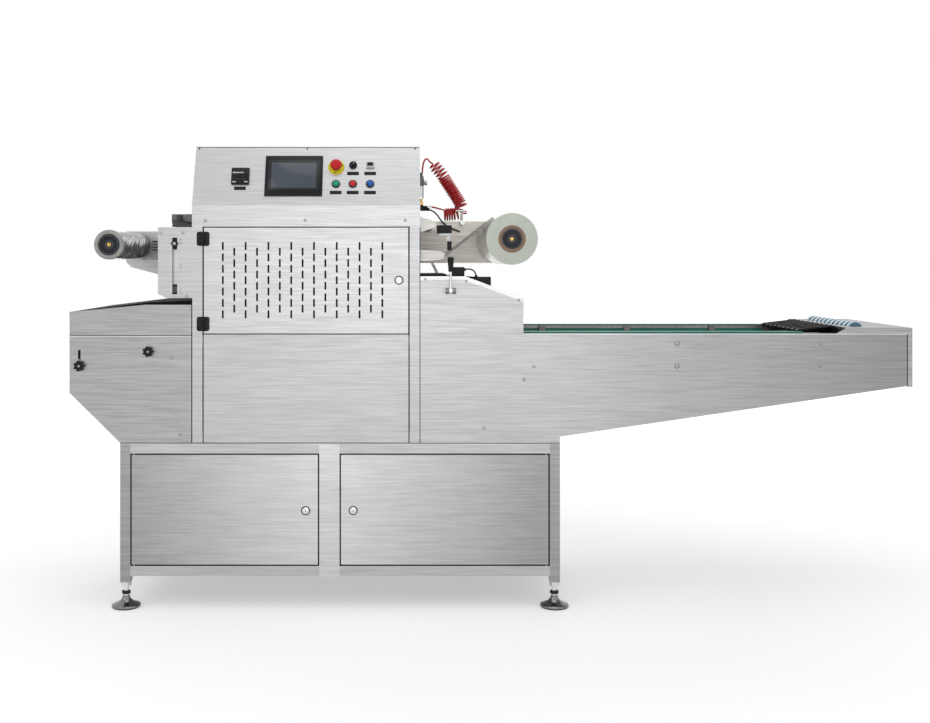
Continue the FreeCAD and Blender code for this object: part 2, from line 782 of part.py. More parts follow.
def on_panel(item):
    """Stand a piece, modelled with Z as its height, on the sloping instrument panel."""
    item.Placement.Rotation = FreeCAD.Rotation(V(1, 0, 0), 90 - number(panel_slope))
    bind(item, {"Placement.Rotation.Angle": 90 - panel_slope})
    return place(item, 0, front, tower_top + panel_foot)


def ring(name, outer, inner, low, high, x, up):
    tube_outer = bar(name + "_outer", "Z", outer, high - low, x, up, low)
    tube_inner = bar(name + "_inner", "Z", inner, high - low + 2 * fit, x, up, low - fit)
    return cut(name, tube_outer, tube_inner)


def touch_screen():
    """Touch screen: a thin bezel with chamfered sides and its glass set in."""
    x0 = screen_x
    x1 = screen_x + screen_width
    s0 = screen_up
    s1 = screen_up + screen_height
    bezel = block("bezel_block", x0, x1, s0, s1, 0, bezel_thick)
    recess = block("bezel_recess", x0 + glass_side, x1 - glass_side, s0 + glass_low, s1 - glass_high,
                   bezel_thick - glass_sink, bezel_thick + fit)
    sub_part("touch_screen", on_panel(grouped("touch_screen", cut("bezel", bezel, recess))))


def panel_instruments():
    """Temperature meter, square switch and the bare label strips under the controls."""
    pieces = []
    meter = block("meter_frame", meter_x, meter_x + meter_size, meter_up, meter_up + meter_size,
                  0, meter_thick)
    face = block("meter_recess", meter_x + meter_rim, meter_x + meter_size - meter_rim,
                 meter_up + meter_rim, meter_up + meter_size - meter_rim, meter_thick - glass_sink,
                 2 * meter_thick)
    pieces.append(cut("meter", meter, face))
    half = switch_size / 2
    frame = block("switch_frame", third_x - half, third_x + half, upper_row - half, upper_row + half,
                  0, ring_thick)
    rocker = block("switch_rocker", third_x - half + skin, third_x + half - skin,
                   upper_row - half + skin, upper_row + half - skin, ring_thick, ring_thick + seam)
    pieces.append(joined_parts("square_switch", frame, rocker))
    strips = [
        (meter_x + meter_size / 2, meter_up - label_drop),
        (second_x, upper_row - upper_label_drop), (third_x, upper_row - upper_label_drop),
        (first_x, lower_row - lower_label_drop), (second_x, lower_row - lower_label_drop),
        (third_x, lower_row - lower_label_drop),
    ]
    for index, (x, up) in enumerate(strips):
        pieces.append(block(f"label_strip_{index}", x - label_width / 2, x + label_width / 2,
                            up - label_height / 2, up + label_height / 2, 0, label_thick))
    sub_part("panel_instruments", on_panel(grouped("panel_instruments", *pieces)))


def controls():
    """Emergency stop, selector and three push buttons, each moving in its own ring."""
    rings = []
    for name, x in (("start", first_x), ("stop", second_x), ("reset", third_x)):
        rings.append(ring(f"{name}_ring", ring_radius, cap_radius + fit, 0, ring_thick, x, lower_row))
        cap = bar(f"{name}_cap", "Z", cap_radius, ring_thick + cap_proud - cap_seat, x, lower_row, cap_seat)
        sub_part(f"{name}_button", on_panel(grouped(f"{name}_button", cap)))
    rings.append(ring("selector_ring", selector_radius, selector_stem + fit, 0, seam, second_x, upper_row))
    sub_part("button_rings", on_panel(grouped("button_rings", *rings)))

    stem = bar("selector_stem", "Z", selector_stem, seam + fit, second_x, upper_row, 0)
    dial = bar("selector_dial", "Z", selector_radius, selector_thick, second_x, upper_row, seam + fit)
    reach = selector_radius - inset
    straight = block("selector_grip", -selector_grip / 2, selector_grip / 2, -reach, reach,
                     seam + selector_thick, seam + 2 * selector_thick)
    grip = place(grouped("selector_pointer", straight), second_x, upper_row, 0)
    grip.Placement.Rotation = FreeCAD.Rotation(V(0, 0, 1), -number(selector_rest))
    bind(grip, {"Placement.Rotation.Angle": -selector_rest})
    sub_part("selector_knob", on_panel(joined_parts("selector_knob", stem, dial, grip)))

    disc = ring("stop_disc", estop_disc_radius, estop_stem + fit, 0, seam, first_x, upper_row_stop)
    collar = ring("stop_collar", estop_collar, estop_stem + fit, 0, estop_collar_height, first_x,
                  upper_row_stop)
    sub_part("estop_plate", on_panel(joined_parts("estop_plate", disc, collar)))
    stop_low = estop_collar_height + door_gap
    head = turned("stop_head", "Z", [
        (0, door_gap), (estop_stem, door_gap), (estop_stem, stop_low), (estop_radius, stop_low),
        (estop_radius, stop_low + 4 * seam), (estop_radius - 2 * seam, stop_low + 5 * seam),
        (0, stop_low + 6 * seam),
    ], first_x, upper_row_stop, 0)
    sub_part("estop_head", on_panel(grouped("estop_head", head)))


def vent_hinges():
    """Two surface hinges: plastic leaves on post and door, with split knuckles round one pin."""
    pin_x = tower_left + tube + door_gap / 2
    pin_y = front - hinge_leaf - fit
    fixed = []
    moving = []
    half = hinge_height / 2
    for index, z in enumerate((hinge_low_z, hinge_high_z)):
        reach = hinge_width / 2
        leaf = block(f"fixed_leaf_{index}", pin_x - reach, pin_x - fit, front - hinge_leaf, front,
                     z - half, z + half)
        swing = block(f"moving_leaf_{index}", pin_x + fit, pin_x + reach, front - hinge_leaf, front,
                      z - half, z + half)
        third = hinge_height / 3
        knuckle_low = bar(f"knuckle_low_{index}", "Z", knuckle_radius, third - fit, pin_x, pin_y, z - half)
        knuckle_high = bar(f"knuckle_high_{index}", "Z", knuckle_radius, third - fit,
                           pin_x, pin_y, z + half - third + fit)
        room = bar(f"knuckle_room_{index}", "Z", knuckle_radius + fit, third + fit,
                   pin_x, pin_y, z - third / 2 - fit / 2)
        bore = bar(f"knuckle_bore_{index}", "Z", hinge_pin + spindle_clearance, hinge_height + 2 * fit,
                   pin_x, pin_y, z - half - fit)
        still = joined_parts(f"fixed_body_{index}", leaf, knuckle_low, knuckle_high)
        fixed.append(cut(f"fixed_hinge_{index}", still, room, bore))
        knuckle = bar(f"knuckle_middle_{index}", "Z", knuckle_radius, third - fit,
                      pin_x, pin_y, z - third / 2 + fit / 2)
        pin = bar(f"hinge_pin_{index}", "Z", hinge_pin, hinge_height, pin_x, pin_y, z - half)
        rooms = []
        for level, base_z in (("low", z - half - fit), ("high", z + half - third)):
            rooms.append(bar(f"swing_room_{level}_{index}", "Z", knuckle_radius + fit, third + fit,
                             pin_x, pin_y, base_z))
        cleared = cut(f"swing_leaf_{index}", swing, *rooms)
        moving.append(joined_parts(f"moving_hinge_{index}", cleared, knuckle, pin))
    sub_part("vent_hinge_plates", grouped("vent_hinge_plates", *fixed))
    sub_part("vent_hinge_leaves", grouped("vent_hinge_leaves", *moving))


def left_housing():
    """Pentagon side plates, the folded sheet round their free edges, the hood and the star knobs."""
    x1 = tower_left - seam
    low = base_top + seam
    chamfer_x = base_left
    corners = [
        (machine_left, housing_chamfer_left), (chamfer_x, low), (x1, low), (x1, housing_top),
        (machine_left, housing_top),
    ]
    panel = plate("left_panel", corners, front, skin)
    slot = block("knob_slot", knob_slot_x - knob_slot_width / 2, knob_slot_x + knob_slot_width / 2,
                 front - skin, front + 2 * skin, knob_slot_low, knob_slot_high)
    ledge = block("left_ledge", machine_left + 2 * skin, x1, front + skin, front + 2 * skin,
                  housing_top - 4 * skin, housing_top + 4 * skin)
    panel = joined_parts("left_panel_ledge", cut("left_panel_slotted", panel, slot), ledge)
    hood_corners = [
        (machine_left, housing_top + seam), (x1, housing_top + seam), (x1, hood_high),
        (hood_bend, hood_high),
        (machine_left, hood_low),
    ]
    hood = plate("left_hood_side", hood_corners, front, skin)
    sub_part("left_side_plates", both_sides("left_side_plates", grouped("left_front_plates", panel, hood)))

    wrap = plate("left_wrap", [
        (machine_left, housing_top), (machine_left, housing_chamfer_left), (chamfer_x, base_top),
        (x1, base_top), (x1, base_top + skin), (chamfer_x + skin / 2, base_top + skin),
        (machine_left + skin, housing_chamfer_left + skin / 2), (machine_left + skin, housing_top),
    ], front + skin, depth - 2 * skin)

    cover = plate("left_cover", [
        (machine_left, hood_low - cover_thick), (hood_bend, hood_high - cover_thick),
        (x1, hood_high - cover_thick),
        (x1, hood_high + cover_rise), (hood_bend, hood_high + cover_rise / 2), (machine_left, hood_low),
    ], front + skin, depth - 2 * skin)
    sub_part("left_hood_cover", cover)

    knobs = []
    for index, (x, z) in enumerate(((first_knob_x, first_knob_z), (second_knob_x, second_knob_z))):
        knobs.append(star_knob(f"star_knob_{index}", x, z))
    sub_part("star_knobs", grouped("star_knobs", *knobs))
    return wrap


def star_knob(name, x, z):
    """A hand knob with seven lobes on a tapered hub."""
    body = doc.addObject("PartDesign::Body", name)
    hub = body.newObject("PartDesign::Revolution", name + "_hub")
    profile = outline(body, name + "_profile", "XZ_Plane", [
        (0, 0), (knob_radius * 0.6, 0), (knob_radius * 0.78, knob_depth * 0.35),
        (knob_radius * 0.78, knob_depth), (0, knob_depth),
    ])
    hub.Profile = profile
    hub.ReferenceAxis = (profile, ["V_Axis"])
    hub.Angle = 360
    doc.recompute()
    lobe = body.newObject("PartDesign::Pad", name + "_lobe")
    reach = knob_radius
    lobe.Profile = outline(body, name + "_lobe_outline", "XY_Plane", [
        (reach * 0.5, -reach * 0.26), (reach * 0.93, -reach * 0.2), (reach, 0), (reach * 0.93, reach * 0.2),
        (reach * 0.5, reach * 0.26),
    ])
    bind(lobe, {"Length": knob_depth})
    polar(body, name + "_lobes", lobe, knob_lobes)
    body.Placement.Rotation = FreeCAD.Rotation(V(1, 0, 0), 90)
    return place(body, x, front, z)


def slotted_plate():
    """The plate beside the tower that guides the rewind's clamp in a long slot."""
    y = front + seam
    corners = [
        (slot_plate_left, slot_plate_bottom + 14), (slot_plate_left + 29, slot_plate_bottom),
        (tower_left, slot_plate_bottom), (tower_left, slot_plate_top), (slot_plate_left, slot_plate_top),
    ]
    blank = plate("slot_plate_blank", corners, y, slot_plate_thick)
    half = guide_slot_width / 2
    straight = block("guide_slot", guide_slot_x - half, guide_slot_x + half, y - seam,
                     y + 2 * slot_plate_thick,
                     guide_slot_low, guide_slot_high)
    sub_part("slot_plate", cut("slot_plate", blank, straight))
    nut_y = y - clamp_nut_thick
    nut = doc.addObject("Part::Prism", "clamp_nut")
    nut.Polygon = 6
    nut.Placement.Rotation = TURNS["Y"]
    bind(nut, {"Circumradius": clamp_nut_radius, "Height": clamp_nut_thick})
    place(nut, guide_slot_x, nut_y, clamp_nut_z)
    shank = bar("clamp_shank", "Y", half - fit, slot_plate_thick + clamp_nut_thick, guide_slot_x,
                nut_y, clamp_nut_z)
    rear_washer = bar("clamp_washer", "Y", half + 4 * skin, skin, guide_slot_x,
                      y + slot_plate_thick, clamp_nut_z)
    stop_block = block("guide_block", guide_slot_x - half + fit, guide_slot_x + half - fit,
                       y, y + guide_block_deep, guide_slot_low + 2 * skin,
                       guide_slot_low + guide_block_tall)
    back_bar = block("guide_bar", guide_slot_x - half - 2 * skin, guide_slot_x + half + 2 * skin,
                     y + slot_plate_thick, y + guide_block_deep, guide_slot_low - skin,
                     guide_slot_low + guide_block_tall + 2 * skin)
    clamp = joined_parts("clamp_screw", nut, shank, rear_washer)
    sub_part("slot_clamp", grouped("slot_clamp", clamp, joined_parts("guide_shoe", stop_block, back_bar)))


def rewind():
    """Rear plate with the waste spindle's bearing, and the small cylinder block above the slot plate."""
    y0 = rewind_plate_y
    low = slot_plate_bottom - skin
    bend_low = rewind_z - waste_radius - rewind_chamfer / 2
    corners = [
        (rewind_x - waste_radius, bend_low),
        (rewind_x - waste_radius + rewind_chamfer, bend_low - rewind_chamfer),
        (cylinder_left - waste_radius, low + waste_radius), (cylinder_left, low), (tower_left + inset, low),
        (tower_left + inset, slot_plate_top - skin), (rewind_x - waste_radius, slot_plate_top - skin),
    ]
    blank = plate("rewind_blank", corners, y0, rewind_plate_thick)
    bore = bar("rewind_bore", "Y", spindle_radius + spindle_clearance, 2 * bearing_length, rewind_x,
               y0 - bearing_length, rewind_z)
    boss = bar("rewind_boss", "Y", bearing_radius, bearing_length + seam, rewind_x,
               y0 - bearing_length, rewind_z)
    sub_part("rewind_plate", cut("rewind_plate", joined_parts("rewind_body", blank, boss), bore))
    drive_x = rewind_x + waste_radius + drive_clear
    drive = block("rewind_drive", drive_x, drive_x + drive_size, y0 - drive_size, y0,
                  rewind_z - drive_size / 2, rewind_z + drive_size / 2)
    body = block("cylinder_body", cylinder_left, tower_left - seam, front + cylinder_back,
                 front + cylinder_back + cylinder_deep, slot_plate_top + seam,
                 slot_plate_top + cylinder_tall)
    groove = block("cylinder_groove", cylinder_left - skin, cylinder_left + skin, front, 0,
                   slot_plate_top + 2 * skin + seam, slot_plate_top + 4 * skin)
    saddle = block("cylinder_saddle", slot_plate_left + 60, tower_left, front + seam + slot_plate_thick,
                   front + cylinder_back + cylinder_deep, slot_plate_top - 4 * skin, slot_plate_top + seam)
    port = bar("cylinder_port", "Y", 8, 12, cylinder_left + 27, front + cylinder_back - 12,
               slot_plate_top + 29)
    sub_part("rewind_cylinder", grouped(
        "rewind_cylinder", drive, joined_parts("cylinder", cut("cylinder_cut", body, groove),
                                               saddle, port)))


def ribbed_chuck(name, x, z, length):
    """An expanding core chuck: a drum with a ribbed, hollowed face."""
    body = doc.addObject("PartDesign::Body", name)
    turn = body.newObject("PartDesign::Revolution", name + "_turn")
    rim = chuck_radius
    profile = outline(body, name + "_profile", "XZ_Plane", [
        (0, 6), (8, 6), (8, 9), (rim * 0.45, 9), (rim * 0.45, 3), (rim * 0.55, 3), (rim * 0.55, 8),
        (rim * 0.85, 8), (rim * 0.85, 0), (rim, 0), (rim, length), (0, length),
    ])
    turn.Profile = profile
    turn.ReferenceAxis = (profile, ["V_Axis"])
    turn.Angle = 360
    doc.recompute()
    rib = body.newObject("PartDesign::Pad", name + "_rib")
    rib.Profile = outline(body, name + "_rib_outline", "XY_Plane", [
        (rim * 0.5, -1.2), (rim * 0.9, -1.2), (rim * 0.9, 1.2), (rim * 0.5, 1.2),
    ])
    bind(rib, {"Length": 9})
    polar(body, name + "_ribs", rib, chuck_ribs)
    body.Placement.Rotation = TURNS["Y"]
    return place(body, x, roll_front, z)


def spindle(name, x, z, plate_y, plate_thick):
    """A cantilevered shaft with its chuck, rear flange and brass air valve."""
    chuck = ribbed_chuck(name + "_chuck", x, z, chuck_length)
    shaft = bar(name + "_shaft", "Y", spindle_radius, plate_y + plate_thick + skin - roll_front - 20,
                x, roll_front + 20, z)
    rear_disc = bar(name + "_rear_disc", "Y", chuck_radius, 20, x, roll_back_of[name] - 20, z)
    collar = bar(name + "_collar", "Y", spindle_radius + 2 * skin, 2 * skin, x,
                 plate_y + plate_thick + fit, z)
    valve = bar(name + "_valve", "Y", 4, 14, x, roll_front - 4, z)
    return joined_parts(name, chuck, shaft, rear_disc, collar, valve)


def rolls():
    """The film supply roll on its core, and the waste roll, each on its own spindle."""
    sub_part("supply_shaft", spindle("supply_shaft", supply_x, supply_z, unwind_plate_y,
                                     unwind_plate_thick))
    sub_part("waste_shaft", spindle("waste_shaft", rewind_x, rewind_z, rewind_plate_y, rewind_plate_thick))
    length = roll_back - roll_front
    waste_length = waste_back - roll_front
    sub_part("supply_core", tube_y("supply_core", core_radius, chuck_radius + fit, supply_x, supply_z,
                                   roll_front - seam, length + seam))
    sub_part("supply_film", tube_y("supply_film", supply_radius, core_radius + fit, supply_x, supply_z,
                                   roll_front, length))
    sub_part("waste_film", tube_y("waste_film", waste_radius, chuck_radius + fit, rewind_x, rewind_z,
                                  roll_front, waste_length))


def tube_y(name, outer, inner, x, z, y, length):
    solid = bar(name + "_outer", "Y", outer, length, x, y, z)
    hole = bar(name + "_inner", "Y", inner, length + 2 * seam, x, y - seam, z)
    return cut(name, solid, hole)


def unwind_plate():
    """Rear plate that carries the supply spindle, with its leg and the hose's rest."""
    y0 = unwind_plate_y
    right = supply_x + unwind_beyond
    corners = [
        (tower_right - inset, unwind_plate_bottom), (right, unwind_plate_bottom), (right, unwind_plate_top),
        (tower_right + box_overhang, unwind_plate_top), (tower_right + box_overhang, tower_top),
        (tower_right - inset, tower_top),
    ]
    blank = plate("unwind_blank", corners, y0, unwind_plate_thick)
    leg = plate("unwind_leg", [
        (leg_x, unwind_plate_bottom + 6), (leg_x + 24, hood_top_z + hood_lip),
        (leg_x + 36, hood_top_z + hood_lip),
        (leg_x + 12, unwind_plate_bottom + 6),
    ], y0, unwind_plate_thick)
    boss_y = roll_back + door_gap
    boss = bar("unwind_boss", "Y", bearing_radius, y0 + seam - boss_y, supply_x, boss_y, supply_z)
    bore = bar("unwind_bore", "Y", spindle_radius + spindle_clearance, 3 * bearing_length, supply_x,
               y0 - bearing_length, supply_z)
    foot_z = unwind_plate_top - 7
    foot = bar("rest_foot", "Y", rest_foot_radius, rest_forward, rest_x, y0 - rest_forward, foot_z)
    stem_y = y0 - rest_forward + rest_foot_radius
    stem = bar("rest_stem", "Z", rest_stem_radius, rest_height, rest_x - 3, stem_y, foot_z)
    cap = block("rest_cap", rest_x - 26, rest_x + 12, stem_y - 8, stem_y + 8,
                foot_z + rest_height, foot_z + rest_height + 2 * skin)
    carried = joined_parts("unwind_body", blank, leg, boss, foot, stem, cap)
    sub_part("unwind_plate", cut("unwind_plate", carried, bore))


def idlers():
    """Two arms at the front for the film's idler rollers, which reach back to the unwind plate."""
    arms = []
    for name, x, z, wall, drop in (
            ("upper", upper_idler_x, upper_idler_z, tower_right + box_overhang, upper_arm_drop),
            ("lower", lower_idler_x, lower_idler_z, tower_right - inset, lower_arm_drop)):
        arm = plate(f"{name}_arm_plate", [
            (wall, z - drop), (x, z - arm_nose), (x + arm_nose, z - arm_nose / 2),
            (x + arm_nose, z + arm_nose / 2), (x, z + arm_nose), (wall, z + drop),
        ], arm_y, arm_thick)
        foot = block(f"{name}_arm_foot", wall, wall + arm_thick, arm_y, arm_y + arm_foot, z - drop,
                     z + drop)
        arms.append(joined_parts(f"{name}_arm", arm, foot))
    sub_part("idler_arms", grouped("idler_arms", *arms))
    rollers = []
    for name, x, z in (("upper", upper_idler_x, upper_idler_z), ("lower", lower_idler_x, lower_idler_z)):
        start = arm_y + arm_thick
        length = unwind_plate_y - start
        axle = bar(f"{name}_idler_axle", "Y", idler_axle, length, x, start, z)
        roller = bar(f"{name}_idler_roller", "Y", idler_radius, length - 4 * skin, x, start + 2 * skin, z)
        rollers.append(joined_parts(f"{name}_idler", axle, roller))
    sub_part("idler_rollers", grouped("idler_rollers", *rollers))


def film_web():
    """The film between the rolls: off the supply roll, round the lower idler and straight through."""
    roll_x, roll_z, roll_r = number(supply_x), number(supply_z), number(supply_radius + fit)
    turn_x, turn_z, turn_r = number(lower_idler_x), number(lower_idler_z), number(idler_radius + fit)
    thick = number(film)
    span = math.hypot(roll_x - turn_x, roll_z - turn_z)
    centre_line = math.atan2(roll_z - turn_z, roll_x - turn_x)
    slope = centre_line + math.asin((roll_r + turn_r + thick) / span)
    normal = V(math.sin(slope), 0, -math.cos(slope))
    turn = V(turn_x, 0, turn_z)
    roll = V(roll_x, 0, roll_z)
    bottom = V(0, 0, -1)
    half_way = (normal + bottom).normalize()
    inner = turn_r
    outer = turn_r + thick
    left = V(number(rewind_x), 0, turn_z)
    start_inner = roll - normal * (roll_r + thick)
    start_outer = roll - normal * roll_r
    edges = [
        Part.makeLine(start_inner, turn + normal * inner),
        Part.Arc(turn + normal * inner, turn + half_way * inner, turn + bottom * inner).toShape(),
        Part.makeLine(turn + bottom * inner, left + bottom * inner),
        Part.makeLine(left + bottom * inner, left + bottom * outer),
        Part.makeLine(left + bottom * outer, turn + bottom * outer),
        Part.Arc(turn + bottom * outer, turn + half_way * outer, turn + normal * outer).toShape(),
        Part.makeLine(turn + normal * outer, start_outer),
        Part.makeLine(start_outer, start_inner),
    ]
    section = Part.Face(Part.Wire(edges))
    item = doc.addObject("Part::Feature", "film_web")
    item.Shape = section.extrude(V(0, 2 * number(film_half), 0))
    item.Placement = FreeCAD.Placement(V(0, -number(film_half), 0), FreeCAD.Rotation())
    sub_part("film_web", item)


def eye_mark_sensor():
    """The print-mark sensor over the film, on a rod from the unwind plate."""
    body = block("sensor_body", sensor_x, sensor_x + sensor_length, sensor_y, sensor_y + sensor_deep,
                 sensor_z, sensor_z + sensor_tall)
    lamp = block("sensor_lamp", sensor_x + 8, sensor_x + sensor_length - 2, sensor_y + skin,
                 sensor_y + sensor_deep - skin, sensor_z - 8, sensor_z)
    bracket = block("sensor_bracket", sensor_x + sensor_length - 14, sensor_x + sensor_length - 11,
                    sensor_y + 10, sensor_y + 26, sensor_z - 32, sensor_z - 8)
    head = block("sensor_head", sensor_x + sensor_length - 15, sensor_x + sensor_length,
                 sensor_y + 4, sensor_y + 30, sensor_z - 60, sensor_z - 28)
    rod = bar("sensor_rod", "Y", idler_axle, unwind_plate_y - sensor_y - sensor_deep,
              sensor_x + sensor_length / 2, sensor_y + sensor_deep, sensor_z + sensor_tall / 2)
    sub_part("eye_mark_sensor", joined_parts("eye_mark_sensor", body, lamp, bracket, head, rod))


def right_hood():
    """The hood over the infeed of the sealing tower: side plates and a folded top sheet."""
    x0 = tower_right + seam
    low = lip_top + seam
    crease = hood_flat + seam
    under = hood_top_z + hood_lip - skin
    rise = (hood_top_z - hood_end_z) / (hood_right - hood_flat)
    beyond = hood_right + hood_lip
    sides = plate("hood_side", [
        (x0, low), (hood_right, low), (hood_right, under - rise * (hood_right - crease)), (crease, under),
        (x0, under),
    ], front, skin)
    arms = []
    for index, x in enumerate((lever_x - lever_width / 2 - lever_side - fit, lever_x + lever_width / 2 + fit)):
        block_z = block(f"lug_{index}", x, x + lever_side, lever_y, front, lever_z - lever_hub,
                        lever_z + lever_hub)
        round_end = bar(f"lug_round_{index}", "X", lever_hub, lever_side, x, lever_y, lever_z)
        arms.append(joined_parts(f"lever_lug_{index}", block_z, round_end))
    bore = bar("lever_bore", "X", lever_pin + spindle_clearance, 120, lever_x - 60, lever_y, lever_z)
    near = cut("hood_side_front", joined_parts("hood_side_lugs", sides, *arms), bore)
    far = mirrored("hood_side_rear", sides)
    sub_part("right_hood_sides", grouped("right_hood_sides", near, far))

    top_outer = plate("hood_top_outer", [
        (x0, hood_top_z), (hood_flat, hood_top_z), (hood_right, hood_end_z),
        (hood_right + seam, hood_end_z + hood_lip), (crease, hood_top_z + hood_lip),
        (x0, hood_top_z + hood_lip),
    ], front - seam, depth + 2 * seam)
    room = plate("hood_top_room", [
        (x0 - skin, low), (beyond, low), (beyond, under - rise * (beyond - crease)), (crease, under),
        (x0 - skin, under),
    ], front, depth)
    top = cut("hood_top_folded", top_outer, room)
    lip = block("hood_mouth_lip", hood_right - skin, hood_right, front + skin, back - skin,
                hood_end_z, under - rise * (hood_right - skin - crease) + fit)
    sub_part("right_hood_top", joined_parts("right_hood_top", top, lip))


def clamp_lever():
    """The over-centre lever on the hood: hub and pin, rod and plastic grip."""
    hub = bar("lever_hub", "X", lever_hub, lever_width, lever_x - lever_width / 2, lever_y, lever_z)
    pin = bar("lever_pin", "X", lever_pin, lever_width + 2 * lever_side + 8,
              lever_x - lever_width / 2 - lever_side - 4, lever_y, lever_z)
    rod = bar("lever_rod", "Z", lever_rod, lever_reach - grip_length / 2, lever_x, lever_y, lever_z)
    grip = turned("lever_grip", "Z", [
        (0, 0), (grip_radius * 0.75, 0), (grip_radius, grip_length * 0.7),
        (grip_radius, grip_length * 0.95),
        (grip_radius * 0.8, grip_length), (0, grip_length),
    ], lever_x, lever_y, lever_z + lever_reach - grip_length)
    sub_part("clamp_lever", joined_parts("clamp_lever", hub, pin, rod, grip))


def guard_switch():
    """The hood's interlock switch: box, wedge on the slope and the gasket strip along the tower."""
    top = hood_top_z + hood_lip
    box = block("switch_box", switch_x, switch_x + switch_long, switch_y, switch_y + switch_deep,
                top, top + switch_tall)
    rise = (hood_top_z - hood_end_z) / (hood_right - hood_flat)
    crease = hood_flat + seam
    wedge_x0 = hood_flat + wedge_start
    wedge_x1 = wedge_x0 + wedge_long
    wedge_z0 = top - rise * (wedge_x0 - crease) + fit
    wedge_z1 = top - rise * (wedge_x1 - crease) + fit
    wedge = plate("switch_wedge", [
        (wedge_x0, wedge_z0), (wedge_x1, wedge_z1), (wedge_x1, top - seam),
        (wedge_x0 + wedge_long / 3, top - seam), (wedge_x0, wedge_z0 + 2 * seam),
    ], switch_y, switch_deep)
    strip = block("gasket_strip", tower_right + seam, switch_x - gasket_gap, -film_half, film_half,
                  top, top + gasket_thick)
    sub_part("guard_switch", grouped("guard_switch", box, wedge, strip))


def conveyor_body(left_wrap):
    """Side plates with folded lips, the inner beams, the pan below and the discharge end table."""
    x0 = tower_right + seam
    x1 = machine_right - end_fold
    side = plate("conveyor_side", [
        (x0, base_top + seam), (base_right, base_top + seam), (base_right, conveyor_step), (x1, end_bottom),
        (x1, lip_top), (x0, lip_top),
    ], front, skin)
    lip = block("conveyor_lip", x0, x1, front + skin, -beam_y, lip_top - skin, lip_top)
    ledge = block("hood_ledge", x0, hood_right, front + skin, front + 2 * skin, lip_top, lip_top + 4 * skin)
    sub_part("conveyor_sides", both_sides("conveyor_sides", joined_parts("conveyor_front", side,
                                                                         lip, ledge)))

    beam = block("beam", beam_left, beam_right, -beam_y - skin, -beam_y, beam_bottom, lip_top - skin)
    bracket = block("roller_bracket", roller_x - roller_radius, roller_x + roller_radius, -beam_y,
                    bracket_thick - beam_y, beam_bottom + 20, roller_z + 2 * skin)
    sub_part("conveyor_beams", both_sides("conveyor_beams", joined_parts("front_beam", beam, bracket)))

    pan_sheet = plate("pan_sheet", [
        (x0, base_top), (base_right, base_top), (base_right, conveyor_step), (x1, end_bottom),
        (x1, end_bottom + skin), (base_right - skin, conveyor_step + skin),
        (base_right - skin, base_top + skin),
        (x0, base_top + skin),
    ], front + skin, depth - 2 * skin)
    sub_part("bottom_pans", grouped("bottom_pans", left_wrap, pan_sheet))


def end_table():
    """Cheeks, table sheet with the roller's opening, and the folded end plate."""
    x1 = machine_right - end_fold
    cheek = plate("cheek", [
        (cheek_left, lip_top), (x1, lip_top), (x1, table_top), (table_left, table_top),
    ], front, skin)
    cheeks = both_sides("cheeks", cheek)
    table = block("table_sheet", table_left, x1, front, back, table_top - skin, table_top)
    gap = roller_radius + door_gap
    opening = block("roller_opening", roller_x - gap, roller_x + gap, -guide_lip_y - door_gap,
                    guide_lip_y + door_gap, table_top - 2 * skin, table_top + skin)
    fold_outer = block("end_outer", x1, machine_right, front, back, end_plate_bottom, table_top)
    fold_inner = block("end_inner", x1 - skin, machine_right - skin, front + skin, back - skin,
                       end_plate_bottom + skin, table_top - skin)
    folded = joined_parts("table_joined", table, cut("end_fold", fold_outer, fold_inner))
    sheet_top = cut("table_cut", folded, opening)
    sub_part("end_table", joined_parts("end_table", sheet_top, cheeks))


def chain_run():
    """Chain loops in their plastic guides, the toothed shafts and the tray carriers between them."""
    radius = chain_pitch / (2 * sine(180 / sprocket_teeth))
    centre_z = chain_z - radius
    shaft_left = sprocket_x - chain_links * chain_pitch
    half_tall = chain_height / 2
    half_wide = chain_width / 2
    outer = stadium("chain_outer", shaft_left, sprocket_x, centre_z, radius + half_tall,
                    -chain_y - half_wide, chain_width)
    inner = stadium("chain_inner", shaft_left, sprocket_x, centre_z, radius - half_tall,
                    -chain_y - half_wide - seam, chain_width + 2 * seam)
    clear = radius + half_tall
    groove = sprocket_thick + 2 * seam
    rooms = []
    for end, xa, xb in (("left", shaft_left - 2 * clear, shaft_left + clear),
                        ("right", sprocket_x - clear, sprocket_x + 2 * clear)):
        rooms.append(block(f"tooth_room_{end}", xa, xb, -chain_y - groove / 2, -chain_y + groove / 2,
                           centre_z - 2 * clear, centre_z + 2 * clear))
    loop = cut("chain_loop", outer, inner, *rooms)
    sub_part("drive_chains", both_sides("drive_chains", loop))

    shafts = []
    for end, x in (("infeed", shaft_left), ("discharge", sprocket_x)):
        shaft = bar(f"{end}_shaft", "Y", drive_shaft_radius, 2 * beam_y, x, -beam_y, centre_z)
        wheels = []
        for side, y in (("front", -chain_y), ("rear", chain_y)):
            wheels.append(sprocket(f"{end}_sprocket_{side}", x, y, centre_z, radius))
        shafts.append(joined_parts(f"{end}_shaft_set", shaft, *wheels))
    sub_part("sprocket_shafts", grouped("sprocket_shafts", *shafts))

    slot_back = chain_y + half_wide + fit
    low_lip = chain_z - half_tall - fit
    high_lip = chain_z + half_tall + fit
    guide = side_plate("chain_guide", [
        (-beam_y, guide_top), (-beam_y, guide_bottom), (-guide_ledge_y, guide_bottom),
        (-guide_ledge_y, guide_ledge),
        (-guide_lip_y, guide_ledge), (-guide_lip_y, low_lip), (-slot_back, low_lip), (-slot_back, high_lip),
        (-guide_lip_y, high_lip), (-guide_lip_y, guide_top),
    ], shaft_left + clear + fit, chain_links * chain_pitch - 2 * clear - 2 * fit)
    sub_part("chain_guides", both_sides("chain_guides", guide))


